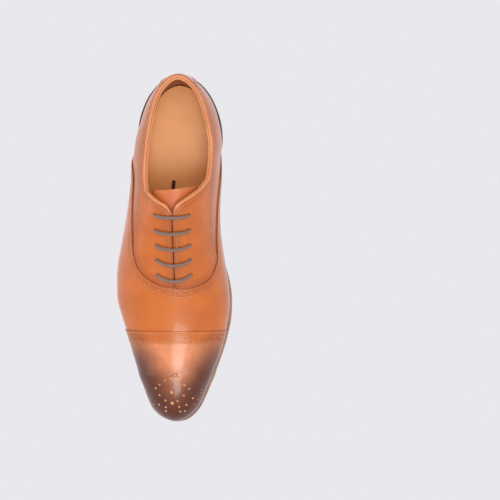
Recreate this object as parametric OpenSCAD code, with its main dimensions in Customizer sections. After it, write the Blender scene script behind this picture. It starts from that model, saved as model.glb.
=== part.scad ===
// A leather cap-toe oxford for the right foot, built panel by panel on the shape of its last.
// Toe toward -Y, heel toward +Y, inner (medial) side toward +X, ground at z = 0.

/* [Overall] */
// Length over the welt and the heel seat
shoe_length = 306; // [255:1:368]
// Width over the welt at the ball of the foot
ball_width = 101.7; // [84.7:0.1:122]
// Height of the last above the sole line, where the facings end
instep_height = 87.6; // [73:0.2:105]
// Height of the sole's underside at the back of the heel
heel_height = 27; // [22:0.5:33]
// How far the toe of the sole springs off the ground
toe_spring = 11; // [8:0.5:14]

/* [Leathers] */
// Thickness of the upper leather
upper_t = 1.2; // [1:0.05:1.5]
// Thickness of the lining leather
lining_t = 0.8; // [0.6:0.05:1.2]
// Thickness of the toe puff and the heel counter
stiffener_t = 0.8; // [0.6:0.05:1.2]
// How far the vamp stands over the quarters it is sewn on
vamp_rise = 0.8; // [0.4:0.05:1.1]
// How far the toe cap stands over the quarters
cap_rise = 1.5; // [1:0.05:1.8]
// How far the facings stand over the quarters
facing_rise = 0.7; // [0.3:0.05:1]
// Thickness of the tongue leather
tongue_t = 1.2; // [0.8:0.05:1.6]

/* [Bottom] */
// Thickness of the outsole
outsole_t = 5; // [4:0.1:7]
// Thickness of the welt, the heel rand and the filling between them
welt_t = 2.9; // [2:0.1:4]
// Thickness of the insole
insole_t = 2.9; // [2:0.1:4]
// Thickness of the sock lining
insock_t = 1.3; // [0.8:0.1:2]
// Thickness of the rubber top piece
top_piece_t = 6; // [4:0.5:7]
// Thickness of each of the two even heel lifts
lift_t = 5.2; // [3:0.1:6]
// How far the heel's foot is drawn in from the seat
heel_taper = 2.6; // [1:0.1:5]
// Diameter of the heel nails
nail_d = 2; // [1.5:0.1:3]

/* [Lacing] */
// Diameter of the lace
lace_d = 3; // [2.5:0.1:3.4]
// Distance between eyelets along the shoe
eyelet_pitch = 12.8; // [12:0.1:14]
// Distance of each eyelet from the middle of the slit
eyelet_reach = 14; // [12:0.5:15]
// Clearance of the lace in its holes
lace_gap = 0.5; // [0.3:0.05:0.8]
// Gap between the two facings
slit_w = 1; // [0.6:0.1:3]

/* [Hidden] */

// The two sides, and the colours of the leathers
lateral = -1;
medial = 1;
calf = "#cf7d4a";
burnished = "#a8633f";
natural = "#dfa06b";
sole_brown = "#4a2c1d";
lace_brown = "#5f4c45";

// Working clearances: between layers, between panels that meet edge to edge, under the upper
layer_gap = 0.4;
seam_gap = 0.3;
stack_gap = 0.1;

// Scale of the last against the sizes its sections were drawn for
kx = ball_width / 101.7;
ky = shoe_length / 306;
kz = instep_height / 87.6;

// Stations: toe tip, start of the toe's fan, start of the heel's fan, back of the heel
tip_s = -164;
toe_s = -110;
seat_s = 92;
back_s = 164;
toe_turn = 90 / (toe_s - tip_s);
heel_turn = 90 / (back_s - seat_s);

// Sections of the last: station, middle line x, reach of the upper (lateral, medial), reach of
// the sole (lateral, medial), height of the widest line, height of the ridge, and the fullness
// of the section across (lateral, medial) and up
LAST = [
    [-164, 1.4, 40.2, 40.2, 43.0, 43.0, 19.5, 46.8, 2.1, 2.1, 2.0],
    [-155, 1.4, 38.4, 38.0, 41.4, 42.1, 19.9, 46.8, 2.1, 2.1, 2.0],
    [-146, 1.4, 35.3, 34.6, 38.6, 38.6, 20.5, 46.8, 2.1, 2.1, 2.0],
    [-134, 1.4, 30.7, 30.0, 33.7, 33.9, 21.6, 46.8, 2.1, 2.1, 2.0],
    [-122, 1.4, 29.2, 28.7, 31.6, 32.4, 22.2, 46.8, 2.1, 2.1, 2.0],
    [-110, 1.4, 31.3, 31.0, 33.7, 35.1, 22.8, 46.8, 2.1, 2.1, 2.0],
    [-90, 1.5, 37.2, 38.3, 39.6, 41.9, 23.5, 49.4, 2.1, 2.1, 2.0],
    [-75, 1.6, 41.6, 42.1, 43.9, 46.0, 24.6, 52.6, 2.1, 2.1, 2.0],
    [-60, 1.7, 46.6, 45.1, 48.7, 48.6, 25.0, 56.8, 2.05, 2.05, 1.95],
    [-45, 1.8, 50.6, 46.2, 51.9, 49.1, 25.8, 61.8, 2.0, 2.0, 1.9],
    [-30, 1.6, 51.1, 45.2, 52.4, 47.6, 26.4, 66.9, 2.0, 2.0, 1.9],
    [-15, 1.3, 50.1, 43.3, 50.8, 44.0, 27.4, 72.4, 2.0, 2.0, 1.9],
    [0, 1.0, 47.0, 41.3, 46.5, 39.0, 28.4, 77.9, 2.0, 2.0, 1.9],
    [15, 0.6, 43.6, 39.9, 42.5, 34.5, 30.0, 83.0, 2.0, 2.0, 1.85],
    [30, 0.5, 40.7, 39.3, 38.5, 32.0, 31.6, 87.6, 2.1, 2.1, 1.75],
    [45, 3.0, 41.0, 37.2, 37.0, 30.5, 31.8, 89.3, 2.25, 2.2, 1.65],
    [60, 5.4, 41.6, 35.8, 36.8, 31.0, 32.0, 88.5, 2.0, 2.3, 1.5],
    [77, 5.4, 40.7, 35.8, 37.0, 34.0, 30.8, 87.8, 1.5, 2.25, 1.5],
    [92, 5.4, 38.8, 37.1, 37.6, 37.0, 29.0, 85.0, 1.45, 1.95, 1.5],
    [104, 5.4, 38.1, 37.6, 38.6, 38.6, 28.0, 86.0, 1.46, 1.78, 1.5],
    [116, 5.4, 38.9, 39.6, 41.6, 41.3, 27.2, 88.0, 1.65, 1.8, 1.52],
    [128, 5.4, 42.9, 43.9, 46.0, 45.6, 26.5, 91.0, 1.8, 1.85, 1.6],
    [140, 5.4, 48.9, 49.7, 52.1, 51.7, 26.0, 97.0, 2.0, 2.0, 1.8],
    [152, 5.4, 55.5, 55.9, 58.2, 58.0, 26.0, 107.0, 2.5, 2.5, 2.1],
    [164, 5.4, 59.1, 59.1, 61.0, 61.0, 25.5, 119.0, 2.9, 2.9, 2.5]];

// Height of the topline above the sole line, by station
TOPLINE = [[46, 77.5], [60, 68], [77, 61.8], [92, 59], [104, 59.5], [122, 62], [140, 66],
    [152, 69], [164, 71]];
// Depth of the collar band below the topline
collar_depth = 7;

// Edges drawn in plan, [x, y]: the V of the opening, the back edge of the facings, the vamp
LATERAL_V = [[-22.5, 50], [-17, 44], [-11, 39.5], [-6, 36.7], [-2.6, 33.5], [0, 31]];
MEDIAL_V = [[29, 56], [24.5, 50.5], [20, 47], [15, 43.4], [9.5, 40], [4.5, 36], [1.1, 31]];
LATERAL_BAND = [[-28, 52], [-29.8, 30], [-32, 12], [-33.8, -4]];
MEDIAL_BAND = [[33, 46], [33, 30], [34, 12], [38.1, -9.4]];
THROAT = [[-33.8, -4], [-32.4, -10], [-30, -16.4], [-26, -21.6], [-20.8, -25.9], [-15, -29.5],
    [-8, -32], [0, -33.6], [7, -34.4], [15, -33.6], [23.6, -31], [29.6, -27.6], [33.8, -22.4],
    [36.3, -16.4], [38.1, -9.4]];
// Edges of the vamp's wings, from the throat back to the welt, [station, height over the sole]
LATERAL_WING = [[15, 59.8], [32, 57], [48, 51.6], [62, 43.6], [73, 34], [81, 23.6], [86, 15.6]];
MEDIAL_WING = [[8, 48.8], [25, 46.4], [41, 43.8], [55, 40.4], [66, 35.4], [75, 27.6], [83, 17.6]];
wing_foot_s = 90;

// Station of the toe cap's edge on the lateral side, at the ridge and on the medial side
cap_edge = [-67.5, -71.4, -70.6];
// Station of the first eyelet, counted from the top of the opening
first_eyelet_s = 29;
eyelet_count = 5;
throat_s = -33;
slit_top_s = 31;
// Angle of the turned-in part of the section between the widest line and the feather
tuck = 60;
// How far the feather lies inside the upper's widest line, and inside the sole's edge
feather_in = 2.8;
feather_sole = 1.2;

// Heights above the sole line
welt_top = outsole_t + stack_gap + welt_t;
insole_low = welt_top + stack_gap;
insock_low = insole_low + insole_t + stack_gap;
feather_h = welt_top + stack_gap + cap_rise * 0.7;

// Depths of the layers under the face of the quarters, each [inner, outer]
stiffener = [-upper_t - layer_gap - stiffener_t, -upper_t - layer_gap];
lining = [stiffener[0] - layer_gap - lining_t, stiffener[0] - layer_gap];
// Room at the feather for the upper and its linings
lining_room = 0.7 - lining[0];
flange_t = 0.5;
flange_w = 1;
flange_gap = 0.6;
barrel_t = 0.3;
lace_depth = lining[0] - flange_gap - flange_t - 0.2 - lace_d / 2;
tongue_top = lace_depth - lace_d / 2 - 0.3;
tongue_low = tongue_top - tongue_t;
bar_rise = facing_rise + 0.15 + lace_d / 2;
lace_hole_d = lace_d + 2 * lace_gap;

// Free ends of the lace, from under their eyelets past the tongue's edge down to the sock lining,
// [x, y, z]
LATERAL_TAIL = [[-15.7, 30.5, 83.6], [-20, 30, 79.3], [-24.3, 29.5, 73.2], [-27.4, 29.2, 66],
    [-28.5, 28.6, 58], [-28.6, 28.2, 50], [-28.2, 28.4, 42], [-27.6, 28.4, 34],
    [-26.6, 27, 26.6], [-25.2, 21.4, 21.8], [-22.6, 12, 19.6], [-17, 4.6, 18.4],
    [-10.4, 4.8, 18.4], [-6.4, 12, 19.6], [-4.9, 22, 21.4], [-3.5, 32, 23.3], [-2.6, 39.6, 24.8]];
MEDIAL_TAIL = [[16.8, 18.1, 77.2], [21.1, 17.7, 72.9], [25.4, 17.2, 66.8], [28.2, 17, 60],
    [29, 16.6, 52], [28.8, 16, 44], [28.2, 15, 36], [27.2, 12.6, 28], [26, 7.6, 21.8],
    [24, -1, 18], [21.4, -12, 16.3], [18.4, -24, 15], [13.6, -34, 14.4], [5.6, -39.6, 14.2],
    [-4, -41, 14.2], [-12.4, -37.8, 14.2], [-17.6, -31.4, 14.5], [-18.4, -27, 14.7],
    [-18, -23, 15.1]];
// Height of the sock lining's top those points were set for
tail_seat = 12.4;
// The same point on a shoe of another size
function tail_point(p) = [p[0] * kx, p[1] * ky, p[2] + (kz - 1) * max(p[2] - 25, 0) * 1.28
    + (insock_low + insock_t - tail_seat) * min(max((60 - p[2]) / 35, 0), 1)];
function tail_points(route) = [for (p = route) tail_point(p)];

// ---- Curves ----

function find(t, s, i = 0) = i >= len(t) - 2 || s < t[i + 1][0] ? i : find(t, s, i + 1);
function slope(t, i) = let(a = t[i][0] - t[i - 1][0], b = t[i + 1][0] - t[i][0])
    ((t[i] - t[i - 1]) * b / a + (t[i + 1] - t[i]) * a / b) / (a + b);
// Row of a table at station s, smoothly between its knots
function at(t, s) = let(i = find(t, s), h = t[i + 1][0] - t[i][0],
    u = min(max((s - t[i][0]) / h, 0), 1), v = 1 - u,
    from = i == 0 ? t[0] * 0 : slope(t, i),
    to = i == len(t) - 2 ? t[0] * 0 : slope(t, i + 1))
    t[i] * v * v * (1 + 2 * u) + t[i + 1] * u * u * (1 + 2 * v)
    + (from * u * v * v - to * u * u * v) * h;
// n + 1 points along a smooth curve through points p
function through(p, n) = [for (i = [0:n]) let(
    x = i * (len(p) - 1) / n, k = min(floor(x), len(p) - 2), u = x - k,
    a = p[max(k - 1, 0)], b = p[k], c = p[k + 1], d = p[min(k + 2, len(p) - 1)])
    0.5 * (2 * b + (c - a) * u + (2 * a - 5 * b + 4 * c - d) * u * u
    + (3 * b - a - 3 * c + d) * u * u * u)];
function reversed(p) = [for (i = [len(p) - 1:-1:0]) p[i]];
function unit(v) = v / norm(v);

// ---- The last ----

// Height of the sole's underside at y
function sole_z(y) = let(t = min(max((y + 45) / 198, 0), 1))
    y < -60 ? toe_spring * pow((-60 - y) / 93, 2) : heel_height * t * t * (3 - 2 * t);
// The same for a y of the finished, scaled shoe
function ground_z(y) = sole_z(y / ky);
function fan(s) = s < toe_s ? (s - toe_s) * toe_turn : s > seat_s ? (s - seat_s) * heel_turn : 0;
function softmin(a, b) = -ln(exp(-a) + exp(-b));
// Section at station s: [middle x, y, cos, sin, reach, height, ridge, across, up, feather, its
// height, sole reach]
function section(side0, s0) = let(
    over = abs(s0) > back_s, s = over ? sign(s0) * 2 * back_s - s0 : s0,
    side = over ? -side0 : side0, t = at(LAST, s), m = side > 0 ? 1 : 0,
    y = min(max(s, toe_s), seat_s), f = fan(s), c = side * cos(f), n = sin(f),
    reach = t[2 + m], sole = t[4 + m], feather = softmin(reach - feather_in, sole - feather_sole))
    [t[1], y, c, n, reach, sole_z(y + n * reach) + t[6] * kz, sole_z(y) + t[7] * kz,
    2 / t[8 + m], 2 / t[10], feather, sole_z(y + n * feather) + feather_h, sole];
// Point of a section at angle a, from 0 at the ridge over 90 at the widest line to 180
function on_section(t, a) = let(b = (a - 90) * tuck / 90,
    r = a <= 90 ? t[4] * pow(max(sin(a), 0), t[7])
        : t[9] + (t[4] - t[9]) * (cos(b) - cos(tuck)) / (1 - cos(tuck)),
    z = a <= 90 ? t[5] + (t[6] - t[5]) * pow(max(cos(a), 0), t[8])
        : t[5] - (t[5] - t[10]) * sin(b) / sin(tuck))
    [kx * (t[0] + t[2] * r), ky * (t[1] + t[3] * r), z];
// Point and outward normal of the last at a place [station, signed angle]
function skin(p) = let(side = p[1] < 0 ? lateral : medial, a = abs(p[1]), b = max(a, 1.5),
    t = section(side, p[0]), here = on_section(t, b),
    along = on_section(section(side, p[0] + 0.4), b) - on_section(section(side, p[0] - 0.4), b),
    down = on_section(t, b + 0.4) - on_section(t, b - 0.4), n = unit(cross(along, down)),
    out = side > 0 ? -1 : 1)
    [on_section(t, a), n * out];
function lift(p, d) = let(k = skin(p)) k[0] + k[1] * d;
// Angle of the section at plan reach r, and at height z
function angle_at_reach(t, r) = asin(pow(min(r / t[4], 1), 1 / t[7]));
function angle_at_height(t, z) = z < t[5]
    ? 90 + asin(min((t[5] - z) / (t[5] - t[10]), 1) * sin(tuck)) * 90 / tuck
    : acos(pow(min((z - t[5]) / (t[6] - t[5]), 1), 1 / t[8]));
// Place of a plan point on the straight part of the last
function place(p) = let(x = at(LAST, p[1])[1], side = p[0] < x ? lateral : medial)
    [p[1], side * angle_at_reach(section(side, p[1]), abs(p[0] - x))];
function places(list) = [for (p = list) place(p)];
// Place on the topline, a depth below it
function topline(side, s, depth = 0) = let(b = s > back_s ? 2 * back_s - s : s,
    t = section(side, s), y = min(b, seat_s))
    [s, side * angle_at_height(t, sole_z(y) + at(TOPLINE, b)[1] * kz - depth)];
// Place beside the slit
function beside(side, s, r) = [s, side * angle_at_reach(section(side, s), r)];

// ---- Shells ----

// Closed shell over a grid of places, between two depths given as functions of a place. A dome
// shares one point down the middle of its rows from row pole on, and its last row is folded
module shell(grid, low, high, pole = -1) {
    rows = len(grid) - 1;
    cols = len(grid[0]) - 1;
    mid = cols / 2;
    n = (rows + 1) * (cols + 1);
    pins = [for (row = grid) for (p = row) concat(skin(p), [p])];
    points = concat([for (k = pins) k[0] + k[1] * high(k[2])],
        [for (k = pins) k[0] + k[1] * low(k[2])]);
    function id(i, j) = pole < 0 ? i * (cols + 1) + j
        : i >= pole && j == mid ? pole * (cols + 1) + mid
        : i == rows && j > mid ? i * (cols + 1) + cols - j : i * (cols + 1) + j;
    quads = concat(
        [for (i = [0:rows - 1]) for (j = [0:cols - 1])
            [id(i, j), id(i, j + 1), id(i + 1, j + 1), id(i + 1, j)]],
        [for (i = [0:rows - 1]) for (j = [0:cols - 1])
            [n + id(i, j), n + id(i + 1, j), n + id(i + 1, j + 1), n + id(i, j + 1)]],
        [for (j = [0:cols - 1]) [id(0, j + 1), id(0, j), n + id(0, j), n + id(0, j + 1)]],
        [for (i = [0:rows - 1]) [id(i, 0), id(i + 1, 0), n + id(i + 1, 0), n + id(i, 0)]],
        [for (i = [0:rows - 1])
            [id(i + 1, cols), id(i, cols), n + id(i, cols), n + id(i + 1, cols)]],
        pole >= 0 ? []
            : [for (j = [0:cols - 1])
                [id(rows, j), id(rows, j + 1), n + id(rows, j + 1), n + id(rows, j)]]);
    solid(points, [for (q = quads) for (t = [[q[0], q[1], q[2]], [q[0], q[2], q[3]]])
        if (t[0] != t[1] && t[1] != t[2] && t[2] != t[0]) t]);
}

// Polyhedron of triangles, turned the right way out and without unused points
module solid(points, faces) {
    volumes = [for (f = faces) cross(points[f[0]], points[f[1]]) * points[f[2]]];
    total = volumes * [for (f = faces) 1];
    polyhedron(points, total < 0 ? faces : [for (f = faces) [f[2], f[1], f[0]]], convexity = 8);
}

// Grid of places between two edges that have as many points as each other
function between(a, b, n) = [for (j = [0:n]) [for (i = [0:len(a) - 1])
    a[i] + (b[i] - a[i]) * j / n]];
function even(d) = function(p) d;

// Rows of a dome from the places of its back edge to the toe's tip
function dome(edge, rows_flat, rows_fan, down = 180) = let(k = (len(edge) - 1) / 2)
    concat(
        [for (i = [0:rows_flat]) [for (p = edge)
            [p[0] + (toe_s - p[0]) * i / rows_flat, p[1]]]],
        [for (i = [1:rows_fan]) [for (p = edge) [toe_s + (tip_s - toe_s) * i / rows_fan, p[1]]]]);

// Tube of diameter d along points p, closed at both ends
module tube(p, d, sides) {
    n = len(p);
    run = [for (i = [0:n - 1]) unit(p[min(i + 1, n - 1)] - p[max(i - 1, 0)])];
    start = unit(cross(run[0], abs(run[0][2]) < 0.9 ? [0, 0, 1] : [1, 0, 0]));
    turn = carried(run, [start]);
    points = [for (i = [0:n - 1]) for (k = [0:sides - 1])
        let(a = 360 * k / sides, u = turn[i], v = cross(run[i], u))
        p[i] + (u * cos(a) + v * sin(a)) * d / 2];
    faces = concat(
        [for (i = [0:n - 2]) for (k = [0:sides - 1]) let(a = i * sides, m = (k + 1) % sides)
            [a + k, a + m, a + sides + m]],
        [for (i = [0:n - 2]) for (k = [0:sides - 1]) let(a = i * sides, m = (k + 1) % sides)
            [a + k, a + sides + m, a + sides + k]],
        [for (k = [1:sides - 2]) [0, k + 1, k]],
        [for (k = [1:sides - 2]) let(a = (n - 1) * sides) [a, a + k, a + k + 1]]);
    solid(points, faces);
}
// A direction across the tube, carried from ring to ring without a twist
function carried(run, done) = let(i = len(done)) i == len(run) ? done
    : carried(run, concat(done, [unit(done[i - 1] - run[i] * (done[i - 1] * run[i]))]));

// ---- Bottom ----

// Plan point of a section at reach index k, drawn in by a true distance
function rim_point(side, s, k, inset) = let(t = section(side, s), r = t[k])
    [kx * (t[0] + t[2] * r) - t[2] * inset, ky * (t[1] + t[3] * r) - t[3] * inset];
sole_reach = 11;
feather_reach = 9;
function outline(k, inset, from = tip_s, to = back_s, step = 6) = let(
    n = ceil((to - from) / step), s = [for (i = [0:n]) from + (to - from) * i / n])
    concat([for (x = s) rim_point(lateral, x, k, inset)],
        [for (i = [n - (to == back_s ? 1 : 0):-1:from == tip_s ? 1 : 0])
            rim_point(medial, s[i], k, inset)]);

// Everything between two heights above the sole line, from y to y
module level(low, high, from = -160, to = 160) {
    n = ceil((to - from) / 10);
    y = [for (i = [0:n]) (from + (to - from) * i / n) * ky];
    multmatrix([[0, 0, 1, -80], [1, 0, 0, 0], [0, 1, 0, 0], [0, 0, 0, 1]])
        linear_extrude(170)
            polygon(concat([for (v = y) [v, ground_z(v) + low]],
                [for (v = reversed(y)) [v, ground_z(v) + high]]));
}
module upright(height = 60) translate([0, 0, -1]) linear_extrude(height) children();

// Station where the welt ends and the heel rand begins, and the hollow breast of the heel
rand_s = 88;
breast_y = 107.7;
breast_r = 240;

module outsole() color(sole_brown) intersection() {
    level(0, outsole_t);
    upright() polygon(outline(sole_reach, 0));
}
module rim(from, to) intersection() {
    level(outsole_t + stack_gap, welt_top);
    upright() difference() {
        polygon(outline(sole_reach, 0, from, to));
        polygon(outline(feather_reach, 6));
    }
}
module welt() color("#8a5a3c") difference() {
    rim(tip_s, back_s);
    translate([-100, rand_s * ky, -5]) cube([200, 200, 100]);
}
module heel_rand() color("#7a4c30") difference() {
    rim(tip_s, back_s);
    translate([-100, rand_s * ky + seam_gap - 400, -5]) cube([200, 400, 100]);
}
module insole() color("#d8b38a") intersection() {
    level(insole_low, insole_low + insole_t);
    upright() polygon(outline(feather_reach, lining_room));
}
module insole_rib() color("#c9a57c") intersection() {
    level(outsole_t + stack_gap, insole_low);
    upright() difference() {
        polygon(outline(feather_reach, 6.3));
        polygon(outline(feather_reach, 9));
    }
}

// The shank lies in the filler, on the middle line of the waist
shank_w = 14;
shank_t = 1.4;
shank_from = 0;
shank_to = 105;
module shank_shape(grow) intersection() {
    level(outsole_t + stack_gap + 0.7 - grow, outsole_t + stack_gap + 0.7 + shank_t + grow,
        shank_from - grow, shank_to + grow);
    upright() hull() for (y = [shank_from + shank_w / 2, shank_to - shank_w / 2])
        translate([4 * kx, y * ky]) circle(d = shank_w + 2 * grow, $fn = 24);
}
module shank() color("silver") shank_shape(0);
module cork_filler() color("#b98d5e") difference() {
    intersection() {
        level(outsole_t + stack_gap, insole_low - stack_gap);
        upright() polygon(outline(feather_reach, 9.3));
    }
    shank_shape(0.15);
}
module insock() color(natural) intersection() {
    level(insock_low, insock_low + insock_t);
    upright() polygon(outline(feather_reach, lining_room + 0.4));
}

// ---- Heel ----

module heel_slab(inset) difference() {
    polygon(outline(sole_reach, inset, seat_s, back_s));
    translate([-9.6 * kx, breast_y * ky - breast_r]) circle(r = breast_r, $fn = 240);
}
function taper(z) = heel_taper * (1 - z / heel_height) + 0.3;
function nail_spots() = [for (a = [-60, -20, 20, 60, 100]) let(b = 90 + (a - 20) * 1.15)
    [(5.4 + cos(b) * 26) * kx, (110 + sin(b) * 27) * ky]];
module nails(d, low, high) for (p = nail_spots())
    translate([p[0], p[1], low]) cylinder(d = d, h = high - low, $fn = 24);
nail_low = top_piece_t + 1.5;
nail_high = heel_height - 5;

module lift_between(low, high) difference() {
    translate([0, 0, low]) linear_extrude(high - low) heel_slab(taper((low + high) / 2));
    nails(nail_d + 0.1, nail_low, nail_high + 0.1);
}
module top_piece() color("#2b2624") difference() {
    linear_extrude(top_piece_t) heel_slab(taper(top_piece_t / 2));
    pins(nail_d + 0.3, -1, top_piece_t - 2);
}
function pin_spots() = [for (x = [-14, 0, 14]) [(5.4 + x) * kx, (140 - abs(x) * 0.8) * ky]];
module pins(d, low, high) for (p = pin_spots())
    translate([p[0], p[1], low]) cylinder(d = d, h = high - low, $fn = 24);
module top_piece_pins() color("#c9a24b") pins(nail_d + 0.2, 0.3, top_piece_t - 2.1);
lift_low = top_piece_t + stack_gap;
module heel_lift_lower() color("#6b4027") lift_between(lift_low, lift_low + lift_t);
module heel_lift_middle() color("#6b4027")
    lift_between(lift_low + lift_t + stack_gap, lift_low + 2 * lift_t + stack_gap);
module heel_lift_upper() color("#6b4027") difference() {
    intersection() {
        level(-80, -stack_gap);
        translate([0, 0, lift_low + 2 * (lift_t + stack_gap)]) linear_extrude(80)
            heel_slab(taper(heel_height * 0.8));
    }
    nails(nail_d + 0.1, nail_low, nail_high + 0.1);
}
module heel_nails() color("#c9a24b") nails(nail_d, nail_low + 0.1, nail_high);

// ---- Upper ----

function spread(n) = [for (i = [0:n]) -180 + 360 * i / n];
// Station of the toe cap's edge at a signed angle
function cap_line(w) = let(u = w / 180)
    cap_edge[1] + (u < 0 ? cap_edge[0] - cap_edge[1] : cap_edge[2] - cap_edge[1]) * u * u;
module toe_cap() color(burnished)
    shell(dome([for (w = spread(28)) [cap_line(w) - seam_gap, w]], 6, 11),
        even(-upper_t), even(cap_rise), 6);

// Edge of a wing, from its end on the throat back and down to the welt
function wing(side) = concat([places(THROAT)[side < 0 ? 0 : len(THROAT) - 1]],
    [for (p = side < 0 ? LATERAL_WING : MEDIAL_WING)
        [p[0], side * angle_at_height(section(side, p[0]), sole_z(p[0]) + p[1] * kz)]],
    [[wing_foot_s, side * 170]]);
function ring_line(w0, w1, n) = [for (i = [0:n]) let(w = w0 + (w1 - w0) * i / n) [cap_line(w), w]];
// Edge of the vamp from the lateral wing's foot round the throat to the medial wing's foot
function vamp_edge() = concat(
    through(reversed(wing(lateral)), 18),
    [for (i = [1:24]) through(places(THROAT), 24)[i]],
    [for (i = [1:18]) through(wing(medial), 18)[i]]);
function vamp_foot() = let(a = cap_line(-180), b = cap_line(180)) concat(
    [for (i = [0:18]) [wing_foot_s + (a - wing_foot_s) * i / 18, -180]],
    [for (i = [1:24]) ring_line(-180, 180, 24)[i]],
    [for (i = [1:18]) [b + (wing_foot_s - b) * i / 18, 180]]);
module vamp() color(calf)
    shell(between(vamp_edge(), vamp_foot(), 7), even(-upper_t), even(vamp_rise));

// Front end of the topline, behind the V
v_s = 60;
collar_back_s = 149.5;
function topline_run(side, from, to, n, depth = 0) =
    [for (i = [0:n]) topline(side, from + (to - from) * i / n, depth)];
function opening(side, from, n) = concat(topline_run(side, from, v_s, n),
    [for (i = [1:12])
        through(places(concat(side < 0 ? LATERAL_V : MEDIAL_V)), 12)[i]],
    [for (i = [1:10]) beside(side, slit_top_s + (throat_s - slit_top_s) * i / 10, slit_w / 2)]);
// Lower edge of the collar band and the facing, down to the vamp
function band(side, from, n) = concat(topline_run(side, from, v_s, n, collar_depth),
    [for (i = [1:12]) through(places(side < 0 ? LATERAL_BAND : MEDIAL_BAND), 12)[i]],
    [for (i = [1:10]) throat_half(side)[i]]);
function throat_half(side) = through(places(side < 0
    ? [for (i = [0:7]) THROAT[i]] : [for (i = [len(THROAT) - 1:-1:7]) THROAT[i]]), 10);
// The same edge drawn up from the vamp by the seam gap
function drawn_up(edge) = [for (p = edge)
    [p[0] + (p[0] < -4 ? seam_gap : 0), p[1] - sign(p[1]) * seam_gap]];

function hole_place(side, k) = beside(side, first_eyelet_s - k * eyelet_pitch, eyelet_reach);
module at_hole(side, k) {
    f = skin(hole_place(side, k));
    translate(f[0]) rotate([0, acos(f[1][2]), atan2(f[1][1], f[1][0])]) children();
}
module lace_holes(side, d) for (k = [0:eyelet_count - 1])
    at_hole(side, k) translate([0, 0, -8]) cylinder(d = d, h = 14, $fn = 24);
module facing(side) color(calf) difference() {
    shell(between(opening(side, collar_back_s, 14), drawn_up(band(side, collar_back_s, 14)), 6),
        even(-upper_t), even(facing_rise));
    lace_holes(side, lace_hole_d);
}
module lateral_facing() facing(lateral);
module medial_facing() facing(medial);

module quarter(side) color(calf) {
    edge = reversed(through(wing(side), 18));
    top = concat(topline_run(side, back_s - 0.6, v_s, 18, collar_depth + seam_gap),
        [for (i = [1:13]) through(places(side < 0 ? LATERAL_BAND : MEDIAL_BAND), 14)[i]]);
    low = concat([for (i = [0:14]) [back_s - 0.6
        + (wing_foot_s + 1 - back_s + 0.6) * i / 14, side * 180]],
        [for (i = [1:17]) edge[i] + [seam_gap, -side * seam_gap]]);
    shell(between([for (p = top) p + [0, side * seam_gap]], low, 8), even(-upper_t), even(0));
}
module lateral_quarter() quarter(lateral);
module medial_quarter() quarter(medial);

// Strip up the back seam, from the notches in the collar down to the seat
strip_half = back_s - collar_back_s - 0.6;
strip_gap = 0.6;
module back_strip() color(calf) {
    top = [for (i = [0:8]) topline(lateral, back_s - strip_half + strip_half * i / 4)];
    low = [for (i = [0:8]) [back_s - 7 + 7 * i / 4, -178]];
    shell(let(g = between(top, low, 8)) [for (j = [0:8]) [for (i = [0:8])
        let(u = min(j / 3, 1), w = strip_half + (7 - strip_half) * u * u * (3 - 2 * u))
        [back_s + w * (i / 4 - 1), g[j][i][1]]]], even(strip_gap), even(strip_gap + upper_t));
}

// ---- Linings and stiffeners ----

vamp_lining_s = throat_s - 3;
module vamp_lining() color(natural)
    shell(dome([for (w = spread(28)) [vamp_lining_s - seam_gap, w]], 9, 11),
        even(lining[0]), even(lining[1]), 9);
grip_s = 99;
module quarter_lining(side) color(natural) difference() {
    top = concat(topline_run(side, grip_s, v_s, 4, 0.5),
        [for (i = [1:10]) through(places(side < 0 ? LATERAL_V : MEDIAL_V), 10)[i]],
        [for (i = [1:8])
            beside(side, slit_top_s + (vamp_lining_s - slit_top_s) * i / 8, slit_w / 2)]);
    shell(between(top, [for (i = [0:22]) [grip_s + (vamp_lining_s - grip_s) * i / 22,
        side * 180]], 12), even(lining[0]), even(lining[1]));
    lace_holes(side, lace_hole_d + 2 * barrel_t + 0.3);
}
module lateral_quarter_lining() quarter_lining(lateral);
module medial_quarter_lining() quarter_lining(medial);
module heel_grip() color("#b5784a") {
    n = 26;
    from = grip_s + seam_gap;
    run = [for (i = [0:n]) from + 2 * (back_s - from) * i / n];
    shell(between([for (s = run) topline(lateral, s, 0.5)], [for (s = run) [s, -180]], 9),
        even(lining[0]), even(lining[1]));
}
module toe_puff() color("#cbb18c")
    shell(dome([for (w = spread(28)) [cap_line(w) - 6, w * 176 / 180]], 4, 11),
        even(stiffener[0]), even(stiffener[1]), 4);
module heel_counter() color("#cbb18c") {
    n = 26;
    from = grip_s + 1;
    run = [for (i = [0:n]) from + 2 * (back_s - from) * i / n];
    shell(between([for (i = [0:n]) topline(lateral, run[i], 10 + 8 * pow(2 * i / n - 1, 2))],
        [for (s = run) [s, -174]], 8), even(stiffener[0]), even(stiffener[1]));
}

// ---- Tongue ----

tongue_root_s = -40;
tongue_tip_s = 50;
tongue_rise = lining[0] - 0.6 - tongue_top;
function tongue_half(s) = at([[-45, 20], [-10, 25], [24, 25], [34, 24.5], [43, 27.5], [50, 28.5]], s)[1];
function tongue_lift(s) = tongue_rise * min(max((-28 - s) / 12, 0), 1);
function tongue_grid() = [for (i = [0:15]) let(u = i / 15,
    s = tongue_root_s + (tongue_tip_s - tongue_root_s) * u)
    [for (j = [0:12]) let(v = j / 6 - 1) beside(v < 0 ? lateral : medial,
        s + (s > 40 ? 3 * v * v * (s - 40) / 10 : 0), max(abs(v), 0.001) * tongue_half(s))]];
module tongue() color("#c8753f")
    shell(tongue_grid(), function(p) tongue_low + tongue_lift(p[0]),
        function(p) tongue_top + tongue_lift(p[0]));
module tongue_lining() color(natural)
    shell(tongue_grid(), function(p) tongue_low - layer_gap - lining_t + tongue_lift(p[0]),
        function(p) tongue_low - layer_gap + tongue_lift(p[0]));

// ---- Lacing ----

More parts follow.
